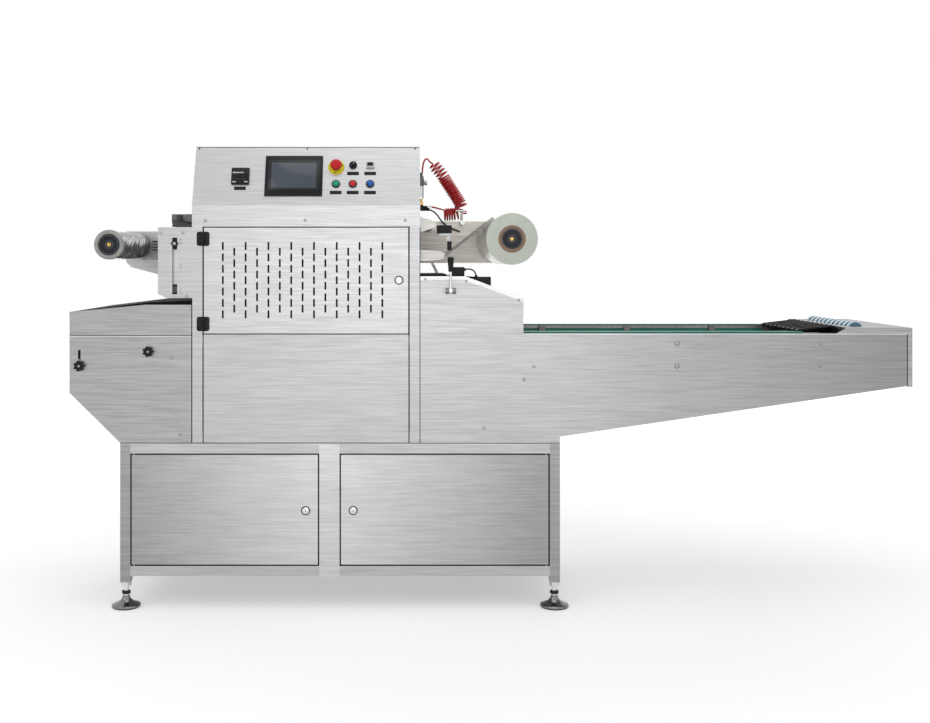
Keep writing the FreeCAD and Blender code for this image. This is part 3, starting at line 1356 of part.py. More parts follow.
def stadium(name, x0, x1, z, radius, y, width):
    """A round-ended slab lying along the machine."""
    left = bar(name + "_left", "Y", radius, width, x0, y, z)
    right = bar(name + "_right", "Y", radius, width, x1, y, z)
    middle = block(name + "_middle", x0, x1, y, y + width, z - radius, z + radius)
    return joined_parts(name, left, middle, right)


def sprocket(name, x, y, z, radius):
    """A chain wheel: a disc at the rollers' feet and one tooth repeated round it."""
    body = doc.addObject("PartDesign::Body", name)
    foot = radius - tooth_depth
    disc = body.newObject("PartDesign::Revolution", name + "_disc")
    profile = outline(body, name + "_profile", "XZ_Plane", [
        (0, 0), (foot, 0), (foot, sprocket_thick), (0, sprocket_thick),
    ])
    disc.Profile = profile
    disc.ReferenceAxis = (profile, ["V_Axis"])
    disc.Angle = 360
    doc.recompute()
    tooth = body.newObject("PartDesign::Pad", name + "_tooth")
    tooth.Profile = outline(body, name + "_tooth_outline", "XY_Plane", [
        (foot - 1, -tooth_root / 2), (radius + tooth_tip, -tooth_crest / 2),
        (radius + tooth_tip, tooth_crest / 2), (foot - 1, tooth_root / 2),
    ])
    bind(tooth, {"Length": sprocket_thick})
    polar(body, name + "_teeth", tooth, sprocket_teeth)
    body.Placement.Rotation = TURNS["Y"]
    return place(body, x, y - sprocket_thick / 2, z)


def tray_carriers():
    """Carrier plates with a tray pocket each, hooked to both chains at their leading edge."""
    pitch = carrier_links * chain_pitch
    reach = guide_lip_y - seam
    chain_face = chain_y - chain_width / 2
    carriers = []
    for index in range(int(number(carrier_count))):
        x0 = carrier_first + index * pitch + carrier_gap / 2
        x1 = x0 + pitch - carrier_gap
        middle = (x0 + x1) / 2
        blank = block(f"carrier_blank_{index}", x0, x1, -reach, reach, guide_ledge,
                      guide_ledge + carrier_thick)
        half_long = pocket_long / 2
        half_wide = pocket_wide / 2
        clip = pocket_corner
        pocket = flat_plate(f"carrier_pocket_{index}", [
            (middle - half_long + clip, -half_wide), (middle + half_long - clip, -half_wide),
            (middle + half_long, clip - half_wide), (middle + half_long, half_wide - clip),
            (middle + half_long - clip, half_wide), (middle - half_long + clip, half_wide),
            (middle - half_long, half_wide - clip), (middle - half_long, clip - half_wide),
        ], guide_ledge - seam, carrier_thick + 2 * seam)
        hooks = []
        for side, sign in (("front", -1), ("rear", 1)):
            inner = sign * (reach - hook_width)
            outer = sign * reach
            y0, y1 = (outer, inner) if sign < 0 else (inner, outer)
            hooks.append(block(f"hook_{side}_{index}", x0, x0 + hook_long, y0, y1,
                               guide_ledge + carrier_thick - 1, chain_z + hook_rise))
            start = -chain_face if sign < 0 else reach - 1
            hooks.append(bar(f"hook_pin_{side}_{index}", "Y", hook_pin, chain_face - reach + 1,
                             x0 + hook_long / 2, start, chain_z))
        carriers.append(joined_parts(f"carrier_{index}", cut(f"carrier_plate_{index}", blank,
                                                             pocket), *hooks))
    sub_part("tray_carriers", grouped("tray_carriers", *carriers))


def discharge():
    """The ramp that lifts trays out of their pockets and the ribbed roller after it."""
    ramp = plate("ramp_sheet", [
        (ramp_left, ramp_low - skin), (ramp_right, ramp_high - skin), (ramp_right, ramp_high),
        (ramp_left, ramp_low),
    ], -guide_lip_y + skin, 2 * (guide_lip_y - skin))
    stay = block("ramp_stay", ramp_right - 4 * skin, ramp_right - 2 * skin, -beam_y, beam_y,
                 ramp_low - 8 * skin, ramp_high - skin)
    sub_part("discharge_ramp", joined_parts("discharge_ramp", ramp, stay))

    half = guide_lip_y
    groove_room = rib_margin
    body = doc.addObject("PartDesign::Body", "ribbed_body")
    turn = body.newObject("PartDesign::Revolution", "ribbed_turn")
    profile = outline(body, "ribbed_profile", "XZ_Plane", [
        (0, 0), (roller_axle, 0), (roller_axle, beam_y - half), (roller_radius, beam_y - half),
        (roller_radius, beam_y + half), (roller_axle, beam_y + half),
        (roller_axle, 2 * beam_y - 2 * bracket_thick),
        (0, 2 * beam_y - 2 * bracket_thick),
    ])
    turn.Profile = profile
    turn.ReferenceAxis = (profile, ["V_Axis"])
    turn.Angle = 360
    doc.recompute()
    groove = body.newObject("PartDesign::Groove", "rib_groove")
    first = beam_y - half + groove_room
    cutter = outline(body, "rib_groove_outline", "XZ_Plane", [
        (roller_radius + 1, first), (roller_radius - rib_depth, first + 2),
        (roller_radius - rib_depth, first + rib_width),
        (roller_radius + 1, first + rib_width + 2),
    ])
    groove.Profile = cutter
    groove.ReferenceAxis = (cutter, ["V_Axis"])
    groove.Angle = 360
    row = body.newObject("PartDesign::LinearPattern", "rib_grooves")
    row.Originals = [groove]
    row.Direction = (plane_of(body, "Z_Axis"), [""])
    bind(row, {"Length": 2 * half - 2 * groove_room - rib_width - 2, "Occurrences": rib_count})
    body.Tip = row
    body.Placement.Rotation = TURNS["Y"]
    place(body, roller_x, bracket_thick - beam_y, roller_z)
    sub_part("ribbed_roller", grouped("ribbed_roller", body))


def air_service():
    """The pressure regulator on the control box's end, its brass nipple and push-in fittings."""
    x0 = tower_right + box_overhang
    pipe_x = x0 + regulator_pipe
    y = regulator_y
    bracket = block("regulator_bracket", x0, x0 + skin, y - 12, y + 12, regulator_low + 30,
                    regulator_high - 20)
    body = block("regulator_body", x0 + skin, x0 + regulator_deep, y - 20, y + 20,
                 regulator_low + 52, regulator_high - 18)
    bowl = bar("regulator_bowl", "Z", 10, 54, pipe_x, y, regulator_low)
    cap = bar("regulator_cap", "Z", 9, 14, pipe_x, y, regulator_high - 20)
    inlet = bar("regulator_inlet", "Z", 5, 12, pipe_x + 1, y, regulator_high - 8)
    knob = bar("regulator_knob", "X", 9, 13, x0 + regulator_deep - 1, y, regulator_high - 35)
    brass = bar("brass_nipple", "Z", 7, 24, pipe_x, y, regulator_low - 23)
    manifold = bar("manifold", "Z", 8, 24, pipe_x, y, regulator_low - 46)
    upper = bar("upper_fitting", "X", 4, 36, pipe_x, y, upper_fitting_z)
    clear = bar("clear_fitting", "X", 7, 10, pipe_x + 34, y, upper_fitting_z)
    lower = bar("lower_fitting", "X", 6.5, 32, pipe_x, y, lower_fitting_z)
    sub_part("air_regulator", joined_parts(
        "air_regulator", bracket, body, bowl, cap, inlet, knob, brass, manifold, upper, clear, lower))


def hose(name, points, diameter):
    """A hose of straight runs joined by the largest tangent arcs that its runs leave room for."""
    spots = [V(*point) for point in points]
    edges = []
    radii = []
    start = spots[0]
    for before, corner, after in zip(spots, spots[1:], spots[2:]):
        inward = (corner - before).normalize()
        outward = (after - corner).normalize()
        turn = inward.getAngle(outward)
        trim = 0.45 * min((corner - before).Length, (after - corner).Length)
        radius = trim / math.tan(turn / 2)
        radii.append(round(radius, 1))
        first = corner - inward * trim
        last = corner + outward * trim
        side = (outward - inward).normalize()
        middle = corner + side * (radius / math.cos(turn / 2) - radius)
        edges.append(Part.makeLine(start, first))
        edges.append(Part.Arc(first, middle, last).toShape())
        start = last
    edges.append(Part.makeLine(start, spots[-1]))
    path = Part.Wire(edges)
    direction = (spots[1] - spots[0]).normalize()
    section = Part.Wire(Part.makeCircle(diameter / 2, spots[0], direction))
    solid = path.makePipeShell([section], True, False, 2)
    expected = math.pi * diameter ** 2 / 4 * path.Length
    print(name, "radii", radii, "length", round(path.Length, 1), "volume ratio",
          round(solid.Volume / expected, 4))
    item = doc.addObject("Part::Feature", name)
    item.Shape = solid
    return item


RED_RISE = [
    (-227, 210, 1538), (-226, 210, 1553), (-223, 209, 1569), (-217, 208, 1583), (-208, 207, 1592),
    (-197, 207, 1589), (-186, 207, 1574),
]
RED_COIL = [
    (-186, 207, 1574), (-161, 209, 1535), (-137, 207, 1496), (-113, 208, 1458), (-96, 208, 1431),
    (-76, 208, 1398.5), (-90, 208, 1373.5), (-142, 208, 1373.5),
]
RED_RETURN = [
    (-142, 208, 1388), (-151, 208, 1396), (-166, 209, 1403), (-190, 210, 1405.5),
]
BLACK_SUPPLY = [
    (-206, 210, 1397), (-185, 210, 1391.5), (-167, 209, 1373), (-152, 207, 1350), (-134, 205, 1333),
    (-111, 205, 1321), (-91, 213, 1313.5), (-81, 229, 1311), (-79, 245.5, 1310.5),
]
BLACK_CYLINDER = [
    (-1076, -298, 1343), (-1071, -305, 1340), (-1060, -308, 1334), (-1046, -304, 1330), (-1034, -294, 1329),
    (-1031, -284, 1329),
]

SWITCH_CABLE = [
    (-89, -252, 1167), (-78, -252.6, 1169.5), (-66, -252, 1168.5), (-55.5, -251.4, 1163),
    (-49, -252, 1153.5),
    (-47.5, -252, 1142),
]


def hoses():
    """The coiled red air hose with its two free ends, and the short black hoses."""
    sub_part("red_hose_coil", hose("red_hose_coil", RED_COIL, number(coil_diameter)))
    rise = hose("red_hose_rise", RED_RISE, number(red_hose_diameter))
    back_run = hose("red_hose_return", RED_RETURN, number(red_hose_diameter))
    sub_part("red_hose_ends", grouped("red_hose_ends", rise, back_run))
    supply = hose("black_hose_supply", BLACK_SUPPLY, number(black_hose_diameter))
    cylinder = hose("black_hose_cylinder", BLACK_CYLINDER, number(black_hose_diameter))
    cable = hose("switch_cable", SWITCH_CABLE, number(switch_cable_diameter))
    sub_part("black_hoses", grouped("black_hoses", supply, cylinder, cable))


def build():
    """Make every sub-part, from the floor up and from the infeed to the discharge end."""
    base_posts()
    base_rails()
    base_skins()
    feet()
    base_doors()
    tower_frame()
    tower_panels()
    vent_door()
    vent_hinges()
    control_box()
    touch_screen()
    panel_instruments()
    controls()
    wrap = left_housing()
    slotted_plate()
    rewind()
    rolls()
    unwind_plate()
    idlers()
    film_web()
    eye_mark_sensor()
    right_hood()
    clamp_lever()
    guard_switch()
    conveyor_body(wrap)
    end_table()
    chain_run()
    tray_carriers()
    discharge()
    air_service()
    hoses()


def check():
    """Stop if any object failed, or a sub-part has no sound solid."""
    for item in doc.Objects:
        if {"Invalid", "Error"} & set(item.State):
            raise RuntimeError(f"{item.Label} failed: {item.State}")
    for item in sub_parts:
        if item.Shape.isNull() or not item.Shape.isValid() or not item.Shape.Solids:
            raise RuntimeError(f"{item.Label} has no sound solid")


def export():
    os.makedirs("parts", exist_ok=True)
    for item in sub_parts:
        item.Shape.exportStep(f"parts/{item.Label}.step")


doc.recompute()
build()
doc.recompute()
check()
export()
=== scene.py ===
"""Looks of the tray sealer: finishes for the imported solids, and the small pieces that dress them."""
import math

import bmesh
import bpy
from mathutils import Matrix, Vector, noise


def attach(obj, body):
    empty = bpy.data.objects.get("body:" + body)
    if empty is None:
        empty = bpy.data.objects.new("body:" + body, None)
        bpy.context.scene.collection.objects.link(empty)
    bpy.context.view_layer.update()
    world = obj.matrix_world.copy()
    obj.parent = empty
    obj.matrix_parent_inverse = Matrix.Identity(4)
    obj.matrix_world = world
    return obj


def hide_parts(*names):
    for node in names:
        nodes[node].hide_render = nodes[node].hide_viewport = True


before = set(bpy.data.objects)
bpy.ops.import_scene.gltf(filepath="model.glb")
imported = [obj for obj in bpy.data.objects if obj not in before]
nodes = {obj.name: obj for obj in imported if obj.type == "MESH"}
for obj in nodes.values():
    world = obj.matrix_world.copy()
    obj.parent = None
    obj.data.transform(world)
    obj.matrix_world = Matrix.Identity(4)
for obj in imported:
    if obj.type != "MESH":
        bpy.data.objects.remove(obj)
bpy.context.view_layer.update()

FRONT = -300.0
PANEL_LEAN = math.radians(22.8)
PANEL_FOOT = Vector((0, FRONT, 1386))


# Finishes

def finish(name, colour, roughness, metallic=0.0, settings=None):
    """A new material with its plain numbers set on the shader."""
    material = bpy.data.materials.new(name)
    material.use_nodes = True
    shader = material.node_tree.nodes["Principled BSDF"]
    shader.inputs["Base Color"].default_value = (*colour, 1)
    shader.inputs["Roughness"].default_value = roughness
    shader.inputs["Metallic"].default_value = metallic
    for socket, value in (settings or {}).items():
        shader.inputs[socket].default_value = value
    return material


def shader_of(material):
    return material.node_tree.nodes["Principled BSDF"]


def grain(material, stretch, scale=1.0, detail=3.0, source="Object"):
    """A noise laid over the piece, stretched differently along each axis."""
    tree = material.node_tree
    place = tree.nodes.new("ShaderNodeTexCoord")
    mapping = tree.nodes.new("ShaderNodeMapping")
    mapping.inputs["Scale"].default_value = stretch
    noise_node = tree.nodes.new("ShaderNodeTexNoise")
    noise_node.inputs["Scale"].default_value = scale
    noise_node.inputs["Detail"].default_value = detail
    tree.links.new(place.outputs[source], mapping.inputs["Vector"])
    tree.links.new(mapping.outputs["Vector"], noise_node.inputs["Vector"])
    return noise_node.outputs["Fac"]


def between(material, factor, low, high):
    """Rescale a noise so that it runs from one number to another."""
    tree = material.node_tree
    spread = tree.nodes.new("ShaderNodeMapRange")
    spread.inputs["From Min"].default_value = 0.3
    spread.inputs["From Max"].default_value = 0.7
    spread.inputs["To Min"].default_value = low
    spread.inputs["To Max"].default_value = high
    tree.links.new(factor, spread.inputs["Value"])
    return spread.outputs["Result"]


def tinted(material, factor, dark, light):
    """Colour that runs from dark to light with a noise."""
    tree = material.node_tree
    ramp = tree.nodes.new("ShaderNodeValToRGB")
    ramp.color_ramp.elements[0].position = 0.3
    ramp.color_ramp.elements[0].color = (*dark, 1)
    ramp.color_ramp.elements[1].position = 0.7
    ramp.color_ramp.elements[1].color = (*light, 1)
    tree.links.new(factor, ramp.inputs["Fac"])
    tree.links.new(ramp.outputs["Color"], shader_of(material).inputs["Base Color"])


def roughened(material, factor, low, high):
    result = between(material, factor, low, high)
    material.node_tree.links.new(result, shader_of(material).inputs["Roughness"])


def relief(material, height, strength, distance):
    """A fine bump from a noise or another height."""
    tree = material.node_tree
    bump = tree.nodes.new("ShaderNodeBump")
    bump.inputs["Strength"].default_value = strength
    bump.inputs["Distance"].default_value = distance
    tree.links.new(height, bump.inputs["Height"])
    tree.links.new(bump.outputs["Normal"], shader_of(material).inputs["Normal"])


def flat_or_upright(material, upright, flat):
    """One value on walls and another on level sheets, by which way the surface faces."""
    tree = material.node_tree
    place = tree.nodes.new("ShaderNodeTexCoord")
    parts = tree.nodes.new("ShaderNodeSeparateXYZ")
    size = tree.nodes.new("ShaderNodeMath")
    size.operation = "ABSOLUTE"
    level = tree.nodes.new("ShaderNodeMath")
    level.operation = "GREATER_THAN"
    level.inputs[1].default_value = 0.7
    mix = tree.nodes.new("ShaderNodeMix")
    tree.links.new(place.outputs["Normal"], parts.inputs["Vector"])
    tree.links.new(parts.outputs["Z"], size.inputs[0])
    tree.links.new(size.outputs["Value"], level.inputs[0])
    tree.links.new(level.outputs["Value"], mix.inputs["Factor"])
    tree.links.new(upright, mix.inputs["A"])
    tree.links.new(flat, mix.inputs["B"])
    return mix.outputs["Result"]


def brushed(name, dark, light, roughness=0.36):
    """Stainless sheet brushed along its length, with long faint streaks and a fine grain."""
    steel = finish(name, light, roughness, 0.9, {"Anisotropic": 0.35})
    upright = grain(steel, (8.0, 8.0, 235.0), detail=2.5)
    flat = grain(steel, (8.0, 235.0, 8.0), detail=2.5)
    streaks = flat_or_upright(steel, upright, flat)
    tinted(steel, streaks, dark, light)
    roughened(steel, streaks, roughness + 0.03, roughness - 0.03)
    fine = flat_or_upright(steel, grain(steel, (40.0, 40.0, 2600.0), detail=2),
                           grain(steel, (40.0, 2600.0, 40.0), detail=2))
    relief(steel, fine, 0.25, 0.0002)
    return steel


def painted_falloff(material, start, end, share, centre=0.0):
    """Painted shade: brushed colour that grows darker with the distance in X from a centre, from a start to an end, as
    the light falls off away from the middle.
    """
    tree = material.node_tree
    base = shader_of(material).inputs["Base Color"]
    colour = base.links[0].from_socket
    place = tree.nodes.new("ShaderNodeTexCoord")
    parts = tree.nodes.new("ShaderNodeSeparateXYZ")
    aside = tree.nodes.new("ShaderNodeMath")
    aside.operation = "SUBTRACT"
    aside.inputs[1].default_value = centre
    size = tree.nodes.new("ShaderNodeMath")
    size.operation = "ABSOLUTE"
    spread = tree.nodes.new("ShaderNodeMapRange")
    spread.inputs["From Min"].default_value = start
    spread.inputs["From Max"].default_value = end
    spread.inputs["To Min"].default_value = 1.0
    spread.inputs["To Max"].default_value = share
    darker = tree.nodes.new("ShaderNodeVectorMath")
    darker.operation = "SCALE"
    tree.links.new(place.outputs["Object"], parts.inputs["Vector"])
    tree.links.new(parts.outputs["X"], aside.inputs[0])
    tree.links.new(aside.outputs["Value"], size.inputs[0])
    tree.links.new(size.outputs["Value"], spread.inputs["Value"])
    tree.links.new(colour, darker.inputs[0])
    tree.links.new(spread.outputs["Result"], darker.inputs["Scale"])
    tree.links.new(darker.outputs["Vector"], base)
    return material


def moulded(name, colour, roughness=0.5, texture=900.0, shine=0.3):
    """Moulded plastic with a very fine texture and slight unevenness."""
    plastic = finish(name, colour, roughness, 0.0, {"Specular IOR Level": shine})
    fine = grain(plastic, (texture, texture, texture), detail=2)
    tinted(plastic, grain(plastic, (30.0, 30.0, 30.0)), [c * 0.85 for c in colour],
           [min(1, c * 1.12) for c in colour])
    roughened(plastic, fine, roughness - 0.06, roughness + 0.08)
    relief(plastic, fine, 0.2, 0.0002)
    return plastic


def polished(name, colour, roughness=0.16):
    """Turned and polished metal with faint patches of wear."""
    metal = finish(name, colour, roughness, 1.0)
    worn = grain(metal, (60.0, 60.0, 60.0), detail=4)
    tinted(metal, worn, [c * 0.82 for c in colour], colour)
    roughened(metal, worn, roughness + 0.12, roughness - 0.04)
    return metal


def wound_film(name, colour, see_through):
    """Clear film wound tight, in soft bands round the roll."""
    film = finish(name, colour, 0.2, 0.0, {
        "Transmission Weight": see_through, "IOR": 1.35, "Coat Weight": 0.5, "Coat Roughness": 0.12})
    bands = grain(film, (8.0, 26.0, 8.0), detail=4)
    tinted(film, bands, [c * 0.92 for c in colour], [min(1, c * 1.05) for c in colour])
    roughened(film, grain(film, (25.0, 160.0, 25.0), detail=3), 0.14, 0.34)
    relief(film, grain(film, (10.0, 300.0, 10.0), detail=3), 0.1, 0.0004)
    return film


def chain_metal():
    """Oiled roller chain with a fine uneven tone."""
    metal = finish("chain_steel", (0.42, 0.42, 0.41), 0.35, 1.0)
    worn = grain(metal, (220.0, 220.0, 220.0), detail=4)
    tinted(metal, worn, (0.2, 0.2, 0.19), (0.55, 0.55, 0.53))
    roughened(metal, worn, 0.5, 0.26)
    return metal


STEEL = brushed("panel_brushed_steel", (0.405, 0.405, 0.415), (0.505, 0.505, 0.515))
# Painted shade: the conveyor sides grow darker towards the right end, as the light falls off there.
SIDE_SHADED_STEEL = painted_falloff(brushed("conveyor_side_painted_shade_steel", (0.4, 0.4, 0.41), (0.5, 0.5, 0.51)), 0.25, 1.4, 0.62)
# Painted shade: a darker copy of the panel steel for the left housing, where less light falls.
LEFT_SHADED_STEEL = brushed("left_housing_painted_shade_steel", (0.31, 0.31, 0.32), (0.41, 0.41, 0.42))
# Painted light: a brighter copy of the panel steel for the vent door and control box in the middle, where most light
# falls.
DOOR_LIT_STEEL = brushed("door_painted_light_steel", (0.45, 0.45, 0.455), (0.56, 0.555, 0.56))
# Painted light and shade: a brighter copy for the base doors, darkening away from their middle as a pool of light
# would.
BASE_LIT_STEEL = painted_falloff(brushed("base_door_painted_light_steel", (0.52, 0.52, 0.525), (0.65, 0.645, 0.65)), 0.08, 0.72, 0.55, -0.558)
# Painted shade: a darker copy for the end table at the right end, where less light falls.
END_SHADED_STEEL = brushed("end_plate_painted_shade_steel", (0.3, 0.295, 0.295), (0.43, 0.425, 0.43), 0.38)
# Painted light and shade: a brighter copy for the base posts, darkening away from the base doors' middle.
POST_LIT_STEEL = painted_falloff(brushed("post_painted_light_steel", (0.5, 0.5, 0.51), (0.64, 0.64, 0.65), 0.34), 0.1, 0.4, 0.56, -0.558)
FRAME_STEEL = brushed("frame_brushed_steel", (0.29, 0.29, 0.3), (0.39, 0.39, 0.4), 0.32)
# Pale steel for the hood top and hose rest; it also paints the highlights on the rolled edges and the panel bend.
PALE_STEEL = brushed("bright_steel_and_painted_highlight", (0.56, 0.56, 0.55), (0.68, 0.68, 0.67), 0.32)
ARM_STEEL = brushed("arm_satin_steel", (0.41, 0.4, 0.38), (0.52, 0.505, 0.48), 0.36)
FILM_STEEL = brushed("satin_plate_steel", (0.42, 0.39, 0.36), (0.6, 0.565, 0.52), 0.36)
CARRIER_STEEL = brushed("carrier_steel", (0.16, 0.16, 0.16), (0.3, 0.3, 0.3), 0.4)
MACHINED = polished("machined_steel", (0.6, 0.6, 0.61), 0.18)
BRIGHT = polished("bright_chrome", (0.74, 0.74, 0.75), 0.08)
DARK_CHROME = polished("dark_chrome", (0.22, 0.215, 0.21), 0.12)
ALUMINIUM = polished("satin_aluminium", (0.55, 0.545, 0.53), 0.36)
BRASS = polished("brass", (0.78, 0.5, 0.16), 0.22)
SCREW = polished("screw_steel", (0.4, 0.4, 0.4), 0.26)
CHAIN = chain_metal()
RUBBER = moulded("foot_rubber", (0.03, 0.03, 0.03), 0.75, 500.0, 0.2)
BLACK = moulded("black_textured_plastic", (0.009, 0.009, 0.011), 0.4, 900.0, 0.2)
BLACK_GLOSS = moulded("black_smooth_plastic", (0.007, 0.007, 0.009), 0.2, 300.0, 0.22)
# Dark joint seals; also the painted shade behind the vent slots.
JOINT_AND_SHADE_BLACK = moulded("dark_joint_seal_and_shade", (0.01, 0.01, 0.01), 0.8, 400.0, 0.1)
DARK_COVER = moulded("smoked_cover", (0.008, 0.008, 0.009), 0.5, 60.0, 0.04)
GREY_BLOCK = moulded("grey_painted_block", (0.07, 0.075, 0.08), 0.34)
PALE_BLOCK = moulded("pale_grey_plastic", (0.6, 0.6, 0.59), 0.4)
WHITE_WINDOW = moulded("white_window_strip", (0.85, 0.86, 0.86), 0.3, 300.0)
LABEL = moulded("bare_label_strip", (0.012, 0.012, 0.014), 0.35, 500.0, 0.2)
YELLOW = moulded("yellow_plastic", (0.8, 0.66, 0.02), 0.35)
RED = moulded("red_plastic", (0.58, 0.012, 0.014), 0.28, 900.0, 0.25)
SCREEN_BORDER = moulded("screen_border", (0.012, 0.014, 0.017), 0.25, 300.0, 0.3)
# Dark nickel for the rims and bezels; also the painted shade along the panel's folded top edge.
RING_DARK = polished("dark_nickel_and_painted_shade", (0.07, 0.07, 0.075), 0.2)
PALE_RING = moulded("pale_core_ring", (0.4, 0.4, 0.38), 0.4, 300.0)
CHUCK_EDGE = moulded("chuck_rim", (0.07, 0.08, 0.095), 0.35, 300.0)
GREY_LIGHT = moulded("grey_cast_block", (0.17, 0.175, 0.185), 0.34, 300.0)
GREEN_CAP = finish("green_lens", (0.0, 0.36, 0.23), 0.2, 0.0, {"Coat Weight": 0.15, "Specular IOR Level": 0.3})
RED_CAP = finish("red_lens", (0.62, 0.006, 0.012), 0.2, 0.0, {"Coat Weight": 0.15, "Specular IOR Level": 0.3})
BLUE_CAP = finish("blue_lens", (0.004, 0.12, 0.5), 0.2, 0.0, {"Coat Weight": 0.15, "Specular IOR Level": 0.3})
GLASS = finish("screen_glass", (0.05, 0.062, 0.085), 0.16, 0.0, {"Coat Weight": 0.2, "Coat Roughness": 0.1,
                                                                 "Specular IOR Level": 0.3})
CARDBOARD = moulded("core_cardboard", (0.3, 0.2, 0.14), 0.85, 220.0)
CHUCK = moulded("dark_chuck", (0.018, 0.021, 0.03), 0.35)
GUIDE_GREEN = moulded("guide_green_plastic", (0.008, 0.2, 0.14), 0.38, 260.0)
RAMP_BLACK = moulded("ramp_black_plastic", (0.006, 0.006, 0.007), 0.5, 160.0, 0.05)
RAMP_RIB = moulded("ramp_rib_plastic", (0.012, 0.012, 0.013), 0.3, 160.0, 0.25)
ROLLER_PALE = moulded("roller_pale_rings", (0.62, 0.74, 0.82), 0.35, 300.0)
ROLLER_BLUE = moulded("roller_blue_core", (0.1, 0.22, 0.32), 0.35, 300.0)
RED_HOSE = finish("red_air_hose", (0.5, 0.006, 0.012), 0.24, 0.0, {"Coat Weight": 0.15, "Coat Roughness": 0.08,
                                                                    "Specular IOR Level": 0.35})
BLACK_HOSE = moulded("black_air_hose", (0.008, 0.008, 0.009), 0.35, 400.0)
SUPPLY_FILM = wound_film("supply_wound_film", (0.62, 0.66, 0.58), 0.05)
WASTE_FILM = wound_film("waste_wound_film", (0.15, 0.14, 0.135), 0.15)
CLEAR_BOWL = finish("clear_bowl", (0.8, 0.82, 0.84), 0.08, 0.0, {"Transmission Weight": 0.8, "IOR": 1.4})
WEB = finish("clear_film_web", (0.46, 0.445, 0.43), 0.12, 0.0, {
    "Transmission Weight": 0.25, "IOR": 1.3, "Alpha": 0.6})
WEB.surface_render_method = "BLENDED"
CURLED_EDGE = finish("curled_film_edge", (0.16, 0.155, 0.15), 0.2, 0.0, {"Alpha": 0.42})
CURLED_EDGE.surface_render_method = "BLENDED"
roughened(CURLED_EDGE, grain(CURLED_EDGE, (30.0, 30.0, 30.0)), 0.12, 0.32)
for lens in (GREEN_CAP, RED_CAP, BLUE_CAP):
    roughened(lens, grain(lens, (300.0, 300.0, 300.0)), 0.16, 0.26)
roughened(GLASS, grain(GLASS, (9.0, 9.0, 9.0), detail=5), 0.14, 0.24)
tinted(GLASS, grain(GLASS, (3.0, 3.0, 2.0)), (0.045, 0.056, 0.076), (0.065, 0.08, 0.105))
roughened(RED_HOSE, grain(RED_HOSE, (200.0, 200.0, 200.0)), 0.18, 0.32)
roughened(CLEAR_BOWL, grain(CLEAR_BOWL, (150.0, 150.0, 150.0)), 0.05, 0.14)
relief(WEB, grain(WEB, (5.0, 60.0, 5.0)), 0.4, 0.001)


def dress(material, *names):
    """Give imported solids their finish."""
    for name in names:
        solid = nodes[name]
        if not solid.material_slots:
            solid.data.materials.append(material)
        for place in solid.material_slots:
            place.material = material


# Shapes, all in millimetres until they are made into a piece

def put_in(bm, shape, matrix=None):
    """Move a finished shape to its place and add it to a larger one."""
    if matrix is not None:
        bmesh.ops.transform(shape, matrix=matrix, verts=shape.verts)
    held = bpy.data.meshes.new("held_shape")
    shape.to_mesh(held)
    shape.free()
    bm.from_mesh(held)
    bpy.data.meshes.remove(held)


def facing(direction, place=(0, 0, 0)):
    """A turn that stands a shape's Z along a direction, then a move to a place."""
    turn = Vector((0, 0, 1)).rotation_difference(Vector(direction)).to_matrix().to_4x4()
    return Matrix.Translation(Vector(place)) @ turn


def on_panel(x, up, out=0.0):
    """The place of something on the sloping instrument panel, with Z out of the panel and Y up it."""
    lean = Matrix.Rotation(math.pi / 2 - PANEL_LEAN, 4, "X")
    return Matrix.Translation(PANEL_FOOT) @ lean @ Matrix.Translation((x, up, out))


def add_block(bm, low, high, edge=0.0, matrix=None, segments=2):
    """A block with rounded edges between two corners."""
    shape = bmesh.new()
    low, high = Vector(low), Vector(high)
    size = high - low
    bmesh.ops.create_cube(shape, size=1.0, matrix=Matrix.Translation((low + high) / 2)
                          @ Matrix.Diagonal((size.x, size.y, size.z, 1)))
    if edge:
        bmesh.ops.bevel(shape, geom=list(shape.edges), offset=edge, offset_type="OFFSET", segments=segments,
                        profile=0.5, affect="EDGES", material=-1, clamp_overlap=True)
    put_in(bm, shape, matrix)


def add_turned(bm, profile, matrix, steps=32):
    """A turned shape: a (radius, height) line spun round Z and then placed."""
    shape = bmesh.new()
    line = [shape.verts.new((radius, 0, height)) for radius, height in profile]
    edges = [shape.edges.new(pair) for pair in zip(line, line[1:])]
    bmesh.ops.spin(shape, geom=line + edges, cent=(0, 0, 0), axis=(0, 0, 1), angle=2 * math.pi,
                   steps=steps, use_merge=True)
    bmesh.ops.remove_doubles(shape, verts=shape.verts, dist=0.0005)
    put_in(bm, shape, matrix)


def add_prism(bm, outline, depth, matrix, edge=0.0):
    """A flat outline in X and Y pushed up by a depth, its rims softened, then placed."""
    shape = bmesh.new()
    face = shape.faces.new([shape.verts.new((x, y, 0)) for x, y in outline])
    pushed = bmesh.ops.extrude_face_region(shape, geom=[face])
    top = {item for item in pushed["geom"] if isinstance(item, bmesh.types.BMVert)}
    bmesh.ops.translate(shape, vec=(0, 0, depth), verts=list(top))
    if edge:
        rims = [line for line in shape.edges if line.verts[0] in top and line.verts[1] in top]
        bmesh.ops.bevel(shape, geom=rims, offset=edge, offset_type="OFFSET", segments=2, profile=0.5,
                        affect="EDGES", material=-1, clamp_overlap=True)
    put_in(bm, shape, matrix)


def ring_points(radius, count, turn=0.0):
    return [(radius * math.cos(turn + 2 * math.pi * k / count), radius * math.sin(turn + 2 * math.pi * k / count))
            for k in range(count)]


